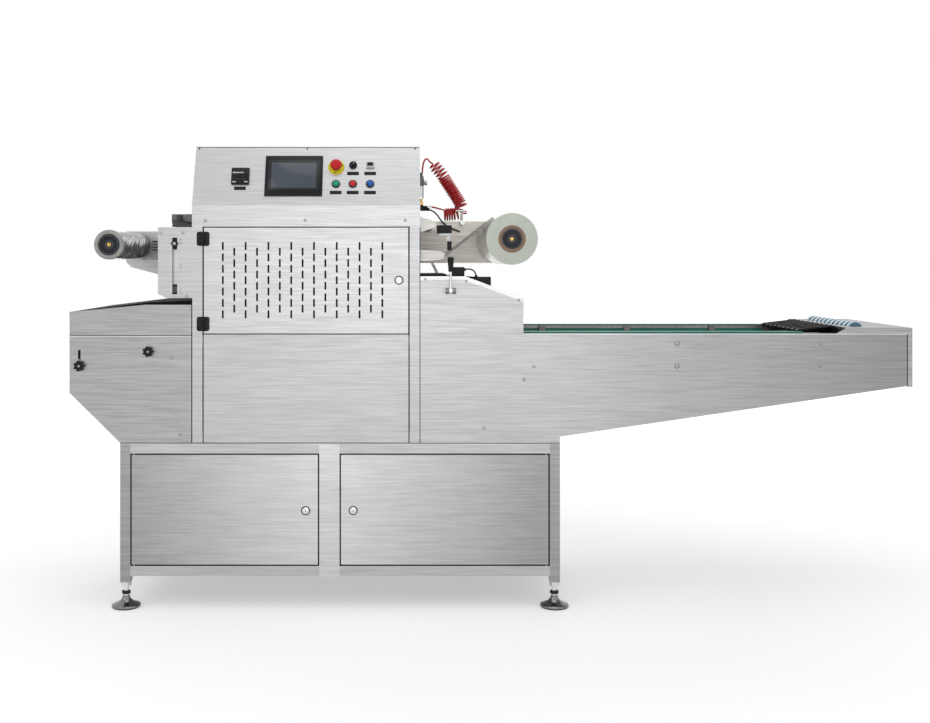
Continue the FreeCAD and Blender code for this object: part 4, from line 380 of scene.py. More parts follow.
def piece(bm, name, material, body, smooth=35.0):
    """Make a finished shape into an object in metres that rides on a body."""
    bmesh.ops.scale(bm, vec=(0.001, 0.001, 0.001), verts=bm.verts)
    bmesh.ops.recalc_face_normals(bm, faces=bm.faces)
    mesh = bpy.data.meshes.new(name)
    bm.to_mesh(mesh)
    bm.free()
    for face in mesh.polygons:
        face.use_smooth = True
    mesh.set_sharp_from_angle(angle=math.radians(smooth))
    item = bpy.data.objects.new(name, mesh)
    bpy.context.scene.collection.objects.link(item)
    mesh.materials.append(material)
    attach(item, body)
    return item


def photo_spot(across, down):
    """Where a point of the photograph lies on the front plates: X and Z in millimetres."""
    return (across - 490.85) * 3.45, (608 - down) * 3.45


def rounded_outline(x0, x1, y0, y1, radius, corners=(True, True, True, True), steps=4):
    """A rectangle's outline with some of its corners rounded, anticlockwise from the lower left."""
    points = []
    spots = [(x0, y0, 180), (x1, y0, 270), (x1, y1, 0), (x0, y1, 90)]
    for (x, y, begin), soft in zip(spots, corners):
        if not soft:
            points.append((x, y))
            continue
        cx = x + radius if x == x0 else x - radius
        cy = y + radius if y == y0 else y - radius
        for step in range(steps + 1):
            angle = math.radians(begin + 90 * step / steps)
            points.append((cx + radius * math.cos(angle), cy + radius * math.sin(angle)))
    return points


# Fasteners and locks

def add_screw(bm, matrix, radius):
    """A button head with a hexagon socket."""
    tall = radius * 0.55
    add_turned(bm, [
        (radius * 0.42, tall * 0.35), (radius * 0.42, tall), (radius * 0.7, tall * 0.92), (radius * 0.95, tall * 0.45),
        (radius, 0), (0, 0),
    ], matrix, steps=16)
    add_prism(bm, ring_points(radius * 0.42, 6), tall * 0.34, matrix)


def screw_row(name, spots, y, radius, body):
    bm = bmesh.new()
    for x, z in spots:
        add_screw(bm, facing((0, -1, 0), (x, y, z)), radius)
    return piece(bm, name, SCREW, body)


def panel_screws():
    """The screws that show on the front plates, each where the photograph has it."""
    screw_row("control_box_screws", [photo_spot(205.5, 220.5), photo_spot(305.2, 220.3), photo_spot(405.2, 220.3)],
              FRONT, 5.5, "frame")
    screw_row("left_housing_screws", [photo_spot(171.6, 357.3), photo_spot(180.2, 434.7)],
              FRONT, 6, "frame")
    corners = [photo_spot(160.6, 233), photo_spot(182.9, 233), photo_spot(186.5, 296)]
    screw_row("slot_plate_screws", corners, FRONT + 2, 5, "frame")
    pairs = [photo_spot(180.6, down) for down in (239.4, 242.9, 264.5, 268, 289.8, 293.2)]
    screw_row("slot_plate_set_screws", pairs, FRONT + 2, 3, "frame")
    screw_row("hood_lip_screws", [photo_spot(425.3, 279), photo_spot(466.3, 281), (96.5, 1063)],
              FRONT - 2, 4.6, "frame")
    screw_row("conveyor_side_bolts", [photo_spot(677.4, 343.5), photo_spot(677.4, 366.2)],
              FRONT, 9, "frame")
    small = [photo_spot(820.9, 343.7), photo_spot(820.3, 366.5), photo_spot(533.7, 366.5),
             photo_spot(523.9, 379.4), photo_spot(484, 428)]
    screw_row("conveyor_side_screws", small, FRONT, 6, "frame")


def lock_face(name, body, x, z):
    """A quarter-turn lock's face: a bright rim, a dark well and a slotted core."""
    place = facing((0, -1, 0), (x, FRONT - 3, z))
    bm = bmesh.new()
    add_turned(bm, [(12.6, 0.2), (12.6, 1.2), (13.2, 2.0), (14.4, 1.8), (15.4, 0.6), (15.6, -3.0), (12.6, -3.0),
                    (12.6, 0.2)], place, steps=40)
    piece(bm, name + "_rim", RING_DARK, body)
    bm = bmesh.new()
    add_turned(bm, [(0, 0.2), (12.6, 0.2), (12.6, 0.7), (9.2, 0.9), (0, 0.9)], place, steps=40)
    piece(bm, name + "_well", BLACK, body)
    bm = bmesh.new()
    add_turned(bm, [(0, 1.3), (11.0, 1.3), (11.8, 1.0), (11.8, 0.6)], place, steps=32)
    piece(bm, name + "_core", BRIGHT, body)
    bm = bmesh.new()
    add_block(bm, (-0.9, -4.4, 1.2), (0.9, 4.4, 1.6), 0.2, place)
    piece(bm, name + "_key_slot", BLACK, body)


def door_locks():
    lock_face("vent_lock", "vent_door", -317.0, 1131.0)
    lock_face("left_door_lock", "base_door_left", -639.0, 336.0)
    lock_face("right_door_lock", "base_door_right", -475.0, 336.0)


def vent_hinges():
    """Black surface hinges with round outer corners and three knuckles on one pin."""
    pin_x, pin_y = -992.5, -306.3
    for index, z in enumerate((980.0, 1273.5)):
        low, high = z - 24.5, z + 24.5
        stand = Matrix.Translation((0, FRONT, 0)) @ Matrix.Rotation(math.pi / 2, 4, "X")
        bm = bmesh.new()
        add_prism(bm, rounded_outline(pin_x - 21.5, pin_x - 0.4, low, high, 7, (True, False, False, True)),
                  6.2, stand, 0.9)
        for bottom in (low, z + 8.6):
            add_turned(bm, [(0, 0), (5.4, 0), (6.2, 0.8), (6.2, 15.1), (5.4, 15.9), (0, 15.9)],
                       Matrix.Translation((pin_x, pin_y, bottom)), steps=24)
        still = piece(bm, f"vent_hinge_fixed_{index}", BLACK, "frame")
        bm = bmesh.new()
        add_prism(bm, rounded_outline(pin_x + 0.4, pin_x + 21.5, low, high, 7, (False, True, True, False)),
                  6.2, stand, 0.9)
        add_turned(bm, [(0, 0), (5.4, 0), (6.2, 0.8), (6.2, 15.0), (5.4, 15.8), (0, 15.8)],
                   Matrix.Translation((pin_x, pin_y, z - 7.9)), steps=24)
        swing = piece(bm, f"vent_hinge_swing_{index}", BLACK, "vent_door")
        if index == 0:
            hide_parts("vent_hinge_plates")
            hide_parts("vent_hinge_leaves")


# Instruments on the sloping panel

def touch_screen():
    """A thin dark bezel with softened sides round a slate-coloured glass."""
    bm = bmesh.new()
    add_block(bm, (-784, 39, 0), (-583, 194, 6), 2.2, on_panel(0, 0), 3)
    bezel = piece(bm, "screen_bezel", BLACK_GLOSS, "frame")
    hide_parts("touch_screen")
    bm = bmesh.new()
    add_block(bm, (-773, 60, 5.6), (-594, 176, 6.25), 0.2, on_panel(0, 0))
    piece(bm, "screen_border", SCREEN_BORDER, "frame")
    bm = bmesh.new()
    add_block(bm, (-762, 68, 6.0), (-605, 166, 6.6), 0.2, on_panel(0, 0))
    piece(bm, "screen_glass", GLASS, "frame")


def temperature_meter():
    """A square panel meter: deep rim, sunk face, a pale reading bar and two keys."""
    bm = bmesh.new()
    add_prism(bm, rounded_outline(-901, -838, 83, 146, 4), 8, on_panel(0, 0), 1.6)
    meter = piece(bm, "meter_case", BLACK_GLOSS, "frame")
    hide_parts("panel_instruments")
    bm = bmesh.new()
    add_block(bm, (-893, 112, 7.8), (-846, 138, 8.3), 0.3, on_panel(0, 0))
    add_block(bm, (-893, 89, 7.8), (-846, 106, 8.3), 0.3, on_panel(0, 0))
    piece(bm, "meter_windows", BLACK, "frame")
    bm = bmesh.new()
    add_block(bm, (-893, 124, 8.2), (-858, 128.5, 8.5), 0.2, on_panel(0, 0))
    add_turned(bm, [(0, 8.6), (2.6, 8.6), (3.2, 8.2)], on_panel(-893, 126.2), steps=20)
    add_block(bm, (-896, 88, 8.2), (-884, 92.5, 8.7), 0.4, on_panel(0, 0))
    add_block(bm, (-855, 88, 8.2), (-843, 92.5, 8.7), 0.4, on_panel(0, 0))
    piece(bm, "meter_reading_bar", PALE_BLOCK, "frame")


def square_switch():
    """The square push switch: bright frame, dark upper half and bright lower half."""
    x, up = -417.5, 158.0
    bm = bmesh.new()
    add_prism(bm, rounded_outline(x - 13.5, x + 13.5, up - 13.5, up + 13.5, 2.5), 6, on_panel(0, 0), 1.2)
    add_block(bm, (x - 10.2, up - 10.8, 5.8), (x + 10.2, up - 5, 7.6), 0.9, on_panel(0, 0))
    piece(bm, "square_switch_frame", SCREW, "frame")
    bm = bmesh.new()
    add_block(bm, (x - 10.2, up - 4.4, 5.8), (x + 10.2, up + 9.6, 8.2), 0.9, on_panel(0, 0))
    piece(bm, "square_switch_window", BLACK_GLOSS, "frame")


def label_strips():
    """Bare dark strips under the meter and the controls."""
    spots = [(-869.5, 69), (-477.5, 126.5), (-417.5, 126.5), (-536.3, 52.6), (-477.5, 52.6), (-417.5, 52.6)]
    bm = bmesh.new()
    for x, up in spots:
        add_prism(bm, rounded_outline(x - 20.5, x + 20.5, up - 6.5, up + 6.5, 1.5), 1.1, on_panel(0, 0), 0.4)
    piece(bm, "label_strips", LABEL, "frame")


def push_buttons():
    """Three lit push buttons in dark bevelled rings."""
    rings = bmesh.new()
    for name, x, lens in (("start", -536.3, GREEN_CAP), ("stop", -477.5, RED_CAP), ("reset", -417.5, BLUE_CAP)):
        add_turned(rings, [(10.9, 0), (10.9, 5.2), (11.6, 6.1), (13.2, 6.0), (14.6, 4.4), (15.2, 1.6), (15.2, 0),
                           (10.9, 0)], on_panel(x, 85.6), steps=40)
        bm = bmesh.new()
        add_turned(bm, [(0, 3.4), (10.4, 3.4), (10.5, 7.0), (9.9, 8.0), (8.0, 8.6), (4.0, 8.95), (0, 9.05)],
                   on_panel(x, 85.6), steps=40)
        cap = piece(bm, f"{name}_button_lens", lens, f"{name}_button")
        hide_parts(f"{name}_button")
    dark = piece(rings, "button_bezels", RING_DARK, "frame")
    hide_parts("button_rings")


def selector_switch():
    """A black two-position selector, its grip turned to the upper right, with a pale pointer line."""
    turn = on_panel(-477.5, 158) @ Matrix.Rotation(math.radians(-45), 4, "Z")
    bm = bmesh.new()
    add_turned(bm, [(0, 0.4), (8.2, 0.4), (8.2, 2.4), (13.6, 2.4), (13.6, 6.2), (12.4, 8.0), (0, 8.2)], turn, steps=40)
    add_block(bm, (-3.6, -12.2, 7.6), (3.6, 12.6, 13.8), 1.3, turn, 3)
    knob = piece(bm, "selector_grip", BLACK, "selector_knob")
    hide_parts("selector_knob")
    bm = bmesh.new()
    add_block(bm, (-0.9, 1.0, 13.6), (0.9, 11.8, 14.1), 0.2, turn)
    piece(bm, "selector_pointer", PALE_BLOCK, "selector_knob")
    bm = bmesh.new()
    add_turned(bm, [(8.4, 0), (8.4, 1.8), (12.6, 1.8), (14.2, 1.0), (14.4, 0), (8.4, 0)], on_panel(-477.5, 158), steps=40)
    piece(bm, "selector_bezel", RING_DARK, "frame")


def emergency_stop():
    """A yellow disc and collar with a red mushroom head that presses in."""
    bm = bmesh.new()
    add_turned(bm, [(9.6, 0), (9.6, 2.2), (26.5, 2.2), (28.6, 1.6), (29, 0), (9.6, 0)],
               on_panel(-536.3, 151), steps=56)
    disc = piece(bm, "stop_disc", YELLOW, "frame")
    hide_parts("estop_plate")
    bm = bmesh.new()
    add_turned(bm, [(9.6, 2), (14.2, 2), (14.2, 11), (13.2, 12), (9.6, 12), (9.6, 2)], on_panel(-536.3, 151), steps=40)
    piece(bm, "stop_collar", BLACK_GLOSS, "frame")
    bm = bmesh.new()
    add_turned(bm, [(0, 5.2), (9, 5.2), (9, 16.6), (18.4, 17.0), (19.8, 18.4), (20, 21.5), (19.2, 24.4), (17, 26.6),
                    (13.4, 28.0), (9, 28.6), (4, 28.4), (0, 28.2)], on_panel(-536.3, 151), steps=56)
    head = piece(bm, "stop_mushroom_head", RED, "estop_head")
    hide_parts("estop_head")
    bm = bmesh.new()
    for turn in (20, 140, 260):
        swing = on_panel(-536.3, 151) @ Matrix.Rotation(math.radians(turn), 4, "Z")
        add_block(bm, (21.6, -4.2, 2.0), (24.2, 4.2, 2.7), 0.3, swing)
    piece(bm, "stop_turn_marks", BLACK, "frame")


def panel_bend():
    """The rolled edge where the sloping panel meets the box's foot, drawn as a pale rod of painted highlight, and the
    folded top edge, drawn as a dark strip of painted shade with three small dots.
    """
    # Painted highlight: a pale steel rod along the bend, for the bright line where the bend catches the light.
    bm = bmesh.new()
    add_turned(bm, [(0, 0), (2.6, 0), (2.6, 787.8), (0, 787.8)], facing((1, 0, 0), (-1031.4, FRONT + 2.0, 1386)), 16)
    piece(bm, "panel_bend_highlight", PALE_STEEL, "frame")
    # Painted shade: a dark strip along the folded top edge, where the top face is seen edge-on; with three small dark
    # dots.
    bm = bmesh.new()
    add_block(bm, (-1030.4, 228.2, -0.4), (-244.6, 230.6, 0.4), 0.2, on_panel(0, 0))
    for x in (-1020, -640, -260):
        add_turned(bm, [(0, 1.4), (2.6, 1.2), (3.4, 0.4), (3.4, 0)], on_panel(x, 224), steps=20)
    piece(bm, "crest_painted_shade_and_dots", RING_DARK, "frame")


def joint_lines():
    """Dark seals in the joints of the sheets, and pale strips of painted highlight along the rolled edges beside them.
    """
    dark = bmesh.new()
    for x0, x1, z0, z1 in ((-1033.4, -1030.6, 570, 1060), (-245.6, -243.2, 570, 1312), (-1453.6, -1033, 938.8, 941.2),
                           (-1278.6, 238.2, 567.4, 570), (-993.2, -991.2, 570, 945), (-284.0, -281.4, 570, 945),
                           (1435.8, 1438.6, 768, 944)):
        add_block(dark, (x0, FRONT - 0.5, z0), (x1, FRONT + 2, z1), 0.3)
    piece(dark, "sheet_joint_seals", JOINT_AND_SHADE_BLACK, "frame")
    # Painted highlight: pale strips where the rolled sheet edges catch the light.
    bright = bmesh.new()
    for x0, x1, z0, z1 in ((-1453, -1034, 936.2, 938.8), (114, 1436, 943.2, 945.4), (-1278, 238, 564.8, 567.2)):
        add_block(bright, (x0, FRONT - 0.6, z0), (x1, FRONT + 1, z1), 0.4)
    piece(bright, "rolled_edge_highlights", PALE_STEEL, "frame")


def shade_behind_vent():
    """A dark sheet behind the louvred door's slots: painted shade for the dark inside seen through them."""
    bm = bmesh.new()
    add_block(bm, (-950, -299.4, 985), (-345, -297.2, 1275), 0.5)
    piece(bm, "vent_painted_shade_sheet", JOINT_AND_SHADE_BLACK, "vent_door")


def levelling_feet():
    """Bell-shaped feet in dark chrome over thin rubber pads."""
    bells, pads = bmesh.new(), bmesh.new()
    for x in (-1261.5, 221.1):
        for y in (-282.5, 282.5):
            place = Matrix.Translation((x, y, 0))
            add_turned(bells, [(0, 3.5), (48.6, 3.5), (49.8, 5), (49.8, 8), (48.4, 10.4), (44, 12.4), (32, 16.5),
                               (23, 21.5), (17.5, 27), (14, 32), (12.6, 38), (12.6, 40), (0, 40)], place, steps=48)
            add_turned(pads, [(0, 0), (46, 0), (47.6, 1), (47.6, 3.8), (0, 3.8)], place, steps=48)
            add_prism(pads, ring_points(15, 6), 11, Matrix.Translation((x, y, 46)), 1.0)
    bell = piece(bells, "foot_bells", DARK_CHROME, "frame", 50)
    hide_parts("foot_pads")
    piece(pads, "foot_rubber_rings", RUBBER, "frame")


def ringed_roller():
    """The discharge roller: many pale rings over a blue-grey core."""
    rings, core = bmesh.new(), bmesh.new()
    place = facing((0, 1, 0), (1292, -215, 955))
    add_turned(core, [(0, 0), (20, 0), (20, 430), (0, 430)], place, steps=32)
    add_turned(core, [(0, -30), (6, -30), (6, 460), (0, 460)], place, steps=20)
    for index in range(11):
        near = 3 + 40.2 * index
        add_turned(rings, [(19.6, near), (26.6, near + 0.6), (28, near + 3), (28, near + 19), (26.6, near + 21.4),
                           (19.6, near + 22)], place, steps=36)
        add_turned(core, [(19, near - 1.2), (25.6, near - 1.2), (26.2, near + 0.4), (19, near + 0.4)], place, steps=36)
    pale = piece(rings, "roller_rings", ROLLER_PALE, "frame")
    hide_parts("ribbed_roller")
    piece(core, "roller_core", ROLLER_BLUE, "frame")


def ramp_ribs():
    """Slide ribs along the ramp, and the rounded knuckles at its receiving edge."""
    bm = bmesh.new()
    slope = math.atan2(15, 132)
    for index in range(9):
        y = -192 + 48 * index
        lean = Matrix.Translation((1094, y, 951.5)) @ Matrix.Rotation(-slope, 4, "Y")
        add_block(bm, (0, -3, 0), (126, 3, 5.5), 1.4, lean)
        add_turned(bm, [(0, 0), (6, 0), (7, 1), (7, 13), (6, 14), (0, 14)], facing((0, 1, 0), (1097, y - 7, 950)), 24)
    piece(bm, "ramp_slide_ribs", RAMP_RIB, "frame")


def slot_backing():
    """The plate seen through the long clamp slot."""
    bm = bmesh.new()
    add_block(bm, (-1103, -290.5, 1074), (-1079, -289, 1286), 0.4)
    piece(bm, "slot_backing_strip", STEEL, "frame")


# Left housing, rewind and waste roll

def star_knob_caps():
    """Turned caps in the middle of the star knobs."""
    bm = bmesh.new()
    for x, z in ((-1418, 835.6), (-1180.4, 884.9)):
        add_turned(bm, [(0, 17.0), (2.8, 17.0), (3.6, 16.4), (3.8, 15.6)], facing((0, -1, 0), (x, FRONT, z)), steps=28)
    piece(bm, "star_knob_caps", SCREW, "frame")


def add_crinkled_roll(bm, matrix, length, radius, depth, around=120, along=110):
    """A roll of gathered film: a closed drum whose skin is drawn into slanting creases."""
    drum = bmesh.new()
    bmesh.ops.create_cone(drum, cap_ends=True, segments=around, radius1=radius, radius2=radius, depth=length)
    sides = [line for line in drum.edges if abs(line.verts[0].co.z - line.verts[1].co.z) > length / 2]
    bmesh.ops.subdivide_edges(drum, edges=sides, cuts=along, use_grid_fill=False)
    for vert in drum.verts:
        angle = math.atan2(vert.co.y, vert.co.x)
        height = vert.co.z
        slant = angle + height * 0.012
        folds = noise.noise(Vector((2.4 * math.cos(slant), 2.4 * math.sin(slant), height * 0.008)))
        fine = noise.noise(Vector((6.5 * math.cos(slant), 6.5 * math.sin(slant), height * 0.014)))
        swell = 0.5 + 0.5 * math.sin(height * 0.021 + 0.6)
        inward = depth * (0.35 + 0.85 * abs(folds) + 0.45 * fine - 0.25 * swell)
        keep = 1 - max(0.0, inward) / radius
        vert.co.x *= keep
        vert.co.y *= keep
    bmesh.ops.translate(drum, vec=(0, 0, length / 2), verts=drum.verts)
    put_in(bm, drum, matrix)


def waste_roll():
    """Skeleton film gathered on the rewind spindle, behind a pale core ring."""
    place = facing((0, 1, 0), (-1328, -246, 1254))
    bm = bmesh.new()
    add_crinkled_roll(bm, place, 426, 50, 6.5)
    gathered = piece(bm, "gathered_waste_film", WASTE_FILM, "waste_roll", 50)
    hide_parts("waste_film")
    bm = bmesh.new()
    add_turned(bm, [(37.5, 0), (37.5, -14.5), (39, -16), (49.5, -16), (52, -13), (52, 1), (49, 3.5), (37.5, 3.5),
                    (37.5, 0)], place, steps=64)
    piece(bm, "waste_core_ring", PALE_RING, "waste_roll")


def air_valve(name, body, x, z):
    """The brass filling valve in the middle of an expanding chuck."""
    place = facing((0, -1, 0), (x, -253, z))
    bm = bmesh.new()
    add_prism(bm, ring_points(7.4, 6), 7, place, 0.6)
    add_turned(bm, [(0, 14.5), (2.4, 14.5), (3.4, 13.5), (3.4, 11), (4.4, 10.6), (4.4, 7), (0, 7)], place, steps=24)
    piece(bm, name, BRASS, body)


def chuck_jaws(name, body, x, z):
    """Rubber jaws between the chuck's ribs and the pale rim round its face."""
    bm = bmesh.new()
    for index in range(12):
        turn = facing((0, -1, 0), (x, -262, z)) @ Matrix.Rotation(math.radians(15 + 30 * index), 4, "Z")
        add_block(bm, (20.5, -3.2, -6), (30, 3.2, -1.2), 0.8, turn)
    piece(bm, name + "_jaws", CHUCK, body)
    bm = bmesh.new()
    add_turned(bm, [(30.8, -1), (31.4, 0.5), (35.0, 0.5), (35.6, -1)], facing((0, -1, 0), (x, -262, z)), steps=56)
    add_turned(bm, [(9.5, -8), (9.5, -3.4), (10.6, -2.6), (14.6, -2.6), (15.6, -3.4), (15.6, -8)],
               facing((0, -1, 0), (x, -262, z)), steps=40)
    piece(bm, name + "_rims", CHUCK_EDGE, body)


def rewind_block():
    """The small cylinder block over the slotted plate: round black port and end caps."""
    bm = bmesh.new()
    add_turned(bm, [(0, 0), (8.6, 0), (9.4, 2), (9.4, 9), (8.4, 11), (0, 11.4)],
               facing((0, -1, 0), (-1076, -286, 1343)), steps=32)
    piece(bm, "cylinder_port_cap", BLACK, "frame")
    bm = bmesh.new()
    add_block(bm, (-1103.6, -286.8, 1339), (-1085, -246, 1359.4), 1.4)
    add_block(bm, (-1064, -286.8, 1330), (-1034, -246, 1359.4), 1.4)
    piece(bm, "cylinder_end_blocks", GREY_LIGHT, "frame")
    bm = bmesh.new()
    for z in (1232, 1242, 1252, 1262):
        add_block(bm, (-1269.5, 172.6, z), (-1230.5, 175.4, z + 4.4), 0.8)
    piece(bm, "rewind_drive_stripes", PALE_BLOCK, "frame")
    bm = bmesh.new()
    for step in range(7):
        add_block(bm, (-1098.8, -299.6, 1089 + 3.1 * step), (-1083.2, -297.4, 1090.6 + 3.1 * step), 0.4)
    piece(bm, "guide_shoe_ribs", GREY_LIGHT, "frame")
    bm = bmesh.new()
    add_turned(bm, [(0, 9.6), (4.2, 9.6), (5.4, 8.6), (5.6, 7.6)], facing((0, -1, 0), (-1091, FRONT + 2, 1257)), 24)
    piece(bm, "clamp_nut_centre", SCREW, "frame")


# Right side: lever, switch, sensor, regulator

def clamp_lever():
    """The hood's lever: turned hub on its pin, bright rod and a swelling black grip."""
    x, y, z = -139.0, -316.0, 1094.0
    bm = bmesh.new()
    add_turned(bm, [(0, 0), (8.2, 0), (9, 0.8), (9, 11.2), (8.2, 12), (0, 12)], facing((1, 0, 0), (x - 6, y, z)), 32)
    add_turned(bm, [(0, 0), (3.9, 0.5), (4, 1), (4, 43), (3.9, 43.5), (0, 44)], facing((1, 0, 0), (x - 22, y, z)), 24)
    add_turned(bm, [(0, 0), (4.6, 6), (3.6, 14), (3.6, 70), (0, 70)], Matrix.Translation((x, y, z)), 24)
    add_turned(bm, [(0, 0), (3.4, 0.2), (4.2, 1.0), (4.2, 1.6)], facing((0, -1, 0), (x, y - 8.4, z)), 24)
    rod = piece(bm, "lever_rod", BRIGHT, "clamp_lever")
    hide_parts("clamp_lever")
    bm = bmesh.new()
    add_turned(bm, [(0, 0), (7.2, 0), (8.0, 1.2), (8.8, 14), (10.4, 32), (11, 42), (10.8, 47), (9.2, 50.4), (5, 51),
                    (0, 51)], Matrix.Translation((x, y, z + 66)), steps=32)
    piece(bm, "lever_grip", BLACK, "clamp_lever")


def lever_barrels():
    """Fluted barrels over the lever's two lugs."""
    bm = bmesh.new()
    for left in (-157.4, -132.6):
        place = facing((1, 0, 0), (left, -316, 1094))
        add_turned(bm, [(4.3, 0), (9.4, 0), (10, 1), (10, 11), (9.4, 12), (4.3, 12), (4.3, 0)], place, steps=32)
        for index in range(16):
            flute = place @ Matrix.Rotation(math.radians(22.5 * index), 4, "Z")
            add_block(bm, (9.7, -0.8, 1.6), (10.7, 0.8, 10.4), 0.3, flute, 1)
    piece(bm, "lever_barrels", DARK_CHROME, "frame")


def guard_switch():
    """The hood's interlock: a rounded black body with a lid line, its sloping foot and the gasket."""
    bm = bmesh.new()
    add_block(bm, (-136, -270, 1144), (-89, -234, 1176), 2.6, None, 3)
    add_block(bm, (-137, -271, 1166.5), (-88, -233, 1168), 0.5)
    add_turned(bm, [(0, -6), (6.2, -6), (6.2, 0), (5.2, 4), (3.4, 7), (0, 7)],
               facing((1, 0, 0), (-90, -252, 1167)), steps=28)
    body = piece(bm, "switch_body", BLACK, "frame")
    bm = bmesh.new()
    add_block(bm, (-83, -270, 1113), (3, -234, 1142), 2.0, None, 3)
    for vert in bm.verts:
        if vert.co.z < 1130:
            vert.co.z = 1144.4 - 0.372 * (vert.co.x + 87) + (vert.co.z - 1113)
    add_turned(bm, [(0, 0), (5.6, 0), (4.8, 5), (3.2, 7), (0, 7)], Matrix.Translation((-47.5, -252, 1141)), steps=28)
    piece(bm, "switch_foot", BLACK_GLOSS, "frame")
    bm = bmesh.new()
    add_block(bm, (-243, -210, 1144), (-148, 210, 1150), 1.6)
    piece(bm, "hood_gasket", BLACK, "frame")
    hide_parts("guard_switch")


def mark_sensor():
    """The print-mark sensor: black body over a pale window strip, with its bracket and head."""
    bm = bmesh.new()
    add_block(bm, (-183, -215, 1294), (-131, -175, 1323), 2.0, None, 3)
    add_block(bm, (-146, -211, 1234), (-131, -185, 1266), 1.6, None, 3)
    add_turned(bm, [(0, 0), (6, 0), (6, 420), (0, 420)], facing((0, 1, 0), (-157, -176, 1308.5)), steps=24)
    body = piece(bm, "sensor_body", BLACK, "frame")
    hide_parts("eye_mark_sensor")
    bm = bmesh.new()
    add_block(bm, (-175, -213.4, 1286), (-133, -178, 1294.5), 1.0)
    piece(bm, "sensor_window_strip", WHITE_WINDOW, "frame")
    bm = bmesh.new()
    add_block(bm, (-145, -205, 1262), (-142, -189, 1288), 0.4)
    add_block(bm, (-150, -212, 1266), (-131, -209, 1287), 0.4)
    piece(bm, "sensor_bracket", SCREW, "frame")


def air_regulator():
    """The pressure regulator, its clear bowl, side knob, brass nipple and push-in fittings."""
    pipe = -230.6
    bm = bmesh.new()
    add_block(bm, (-243.6, 198, 1466), (-240.4, 222, 1514), 0.8)
    add_block(bm, (-241, 190, 1488), (-219.6, 230, 1516), 3.0, None, 3)
    add_turned(bm, [(0, 0), (9, 0), (9, 10), (7.6, 12.6), (5.4, 14), (5.4, 18), (6.4, 19), (6.4, 25), (0, 25)],
               Matrix.Translation((pipe, 210, 1514)), steps=32)
    block = piece(bm, "regulator_block", GREY_LIGHT, "frame")
    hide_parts("air_regulator")
    bm = bmesh.new()
    add_turned(bm, [(0, 0), (5.5, 0.6), (8.6, 3.4), (9.8, 8), (9.8, 52), (0, 52)],
               Matrix.Translation((pipe, 210, 1437)), steps=32)
    piece(bm, "regulator_bowl", CLEAR_BOWL, "frame")
    bm = bmesh.new()
    add_turned(bm, [(0, 0), (6.4, 0), (6.4, 3), (8.6, 4), (9, 5), (9, 12), (8, 13.4), (0, 13.4)],
               facing((1, 0, 0), (-220.8, 210, 1499)), steps=32)
    for index in range(14):
        ridge = facing((1, 0, 0), (-220.8, 210, 1499)) @ Matrix.Rotation(math.radians(360 / 14 * index), 4, "Z")
        add_block(bm, (8.6, -0.7, 5), (9.6, 0.7, 12), 0.25, ridge, 1)
    piece(bm, "regulator_knob", ALUMINIUM, "frame")
    bm = bmesh.new()
    add_prism(bm, ring_points(8.2, 6), 10, Matrix.Translation((pipe, 210, 1415)), 0.6)
    add_turned(bm, [(0, 10), (5.6, 10), (5.6, 20), (6.6, 21), (6.6, 24), (0, 24)],
               Matrix.Translation((pipe, 210, 1414)), steps=28)
    piece(bm, "brass_nipple", BRASS, "frame")
    bm = bmesh.new()
    add_turned(bm, [(0, 0), (7, 0), (8, 1.2), (8, 22.8), (7, 24), (0, 24)],
               Matrix.Translation((pipe, 210, 1390.5)), steps=32)
    add_turned(bm, [(0, 0), (5.2, 0), (5.2, 22), (4.4, 24), (0, 24)],
               facing((1, 0, 0), (pipe, 210, 1405.5)), steps=28)
    add_turned(bm, [(0, 0), (6.4, 0), (6.4, 24), (7, 25), (7, 30), (5.6, 32), (0, 32)],
               facing((1, 0, 0), (pipe, 210, 1397)), steps=28)
    piece(bm, "push_in_elbows", BLACK_GLOSS, "frame")
    bm = bmesh.new()
    add_turned(bm, [(0, 0), (4.6, 0), (6.8, 2), (7, 4), (7, 16), (6, 18), (3.6, 19), (0, 19)],
               facing((1, 0, 0), (-206, 210, 1405.5)), steps=32)
    piece(bm, "clear_coupling", CLEAR_BOWL, "frame")


def web_edge():
    """The film's curled front edge between the supply roll and the lower idler, which shows dark from the front."""
    foot, top = Vector((-163.0, -210.0, 1204.5)), Vector((21.0, -210.0, 1345.5))
    along = (top - foot).normalized()
    level = Vector((0, 1, 0))
    turn = Matrix((along, level, along.cross(level))).transposed().to_4x4()
    bm = bmesh.new()
    add_block(bm, (20, -0.4, 0.4), ((top - foot).length - 2, 0.4, 11), matrix=Matrix.Translation(foot) @ turn)
    piece(bm, "web_curled_edge", CURLED_EDGE, "frame")


def hose_rest():
    """The bright flat top and end cap of the stay that holds the coil up."""
    bm = bmesh.new()
    add_block(bm, (-99, 165, 1386), (-59, 187, 1392.6), 1.2)
    add_turned(bm, [(0, 0), (8.4, 0), (9.2, 0.8), (9.2, 4), (0, 4)], facing((0, -1, 0), (-72, 171, 1344)), steps=32)
    piece(bm, "hose_rest_cap", PALE_STEEL, "frame")


# Chain, hoses

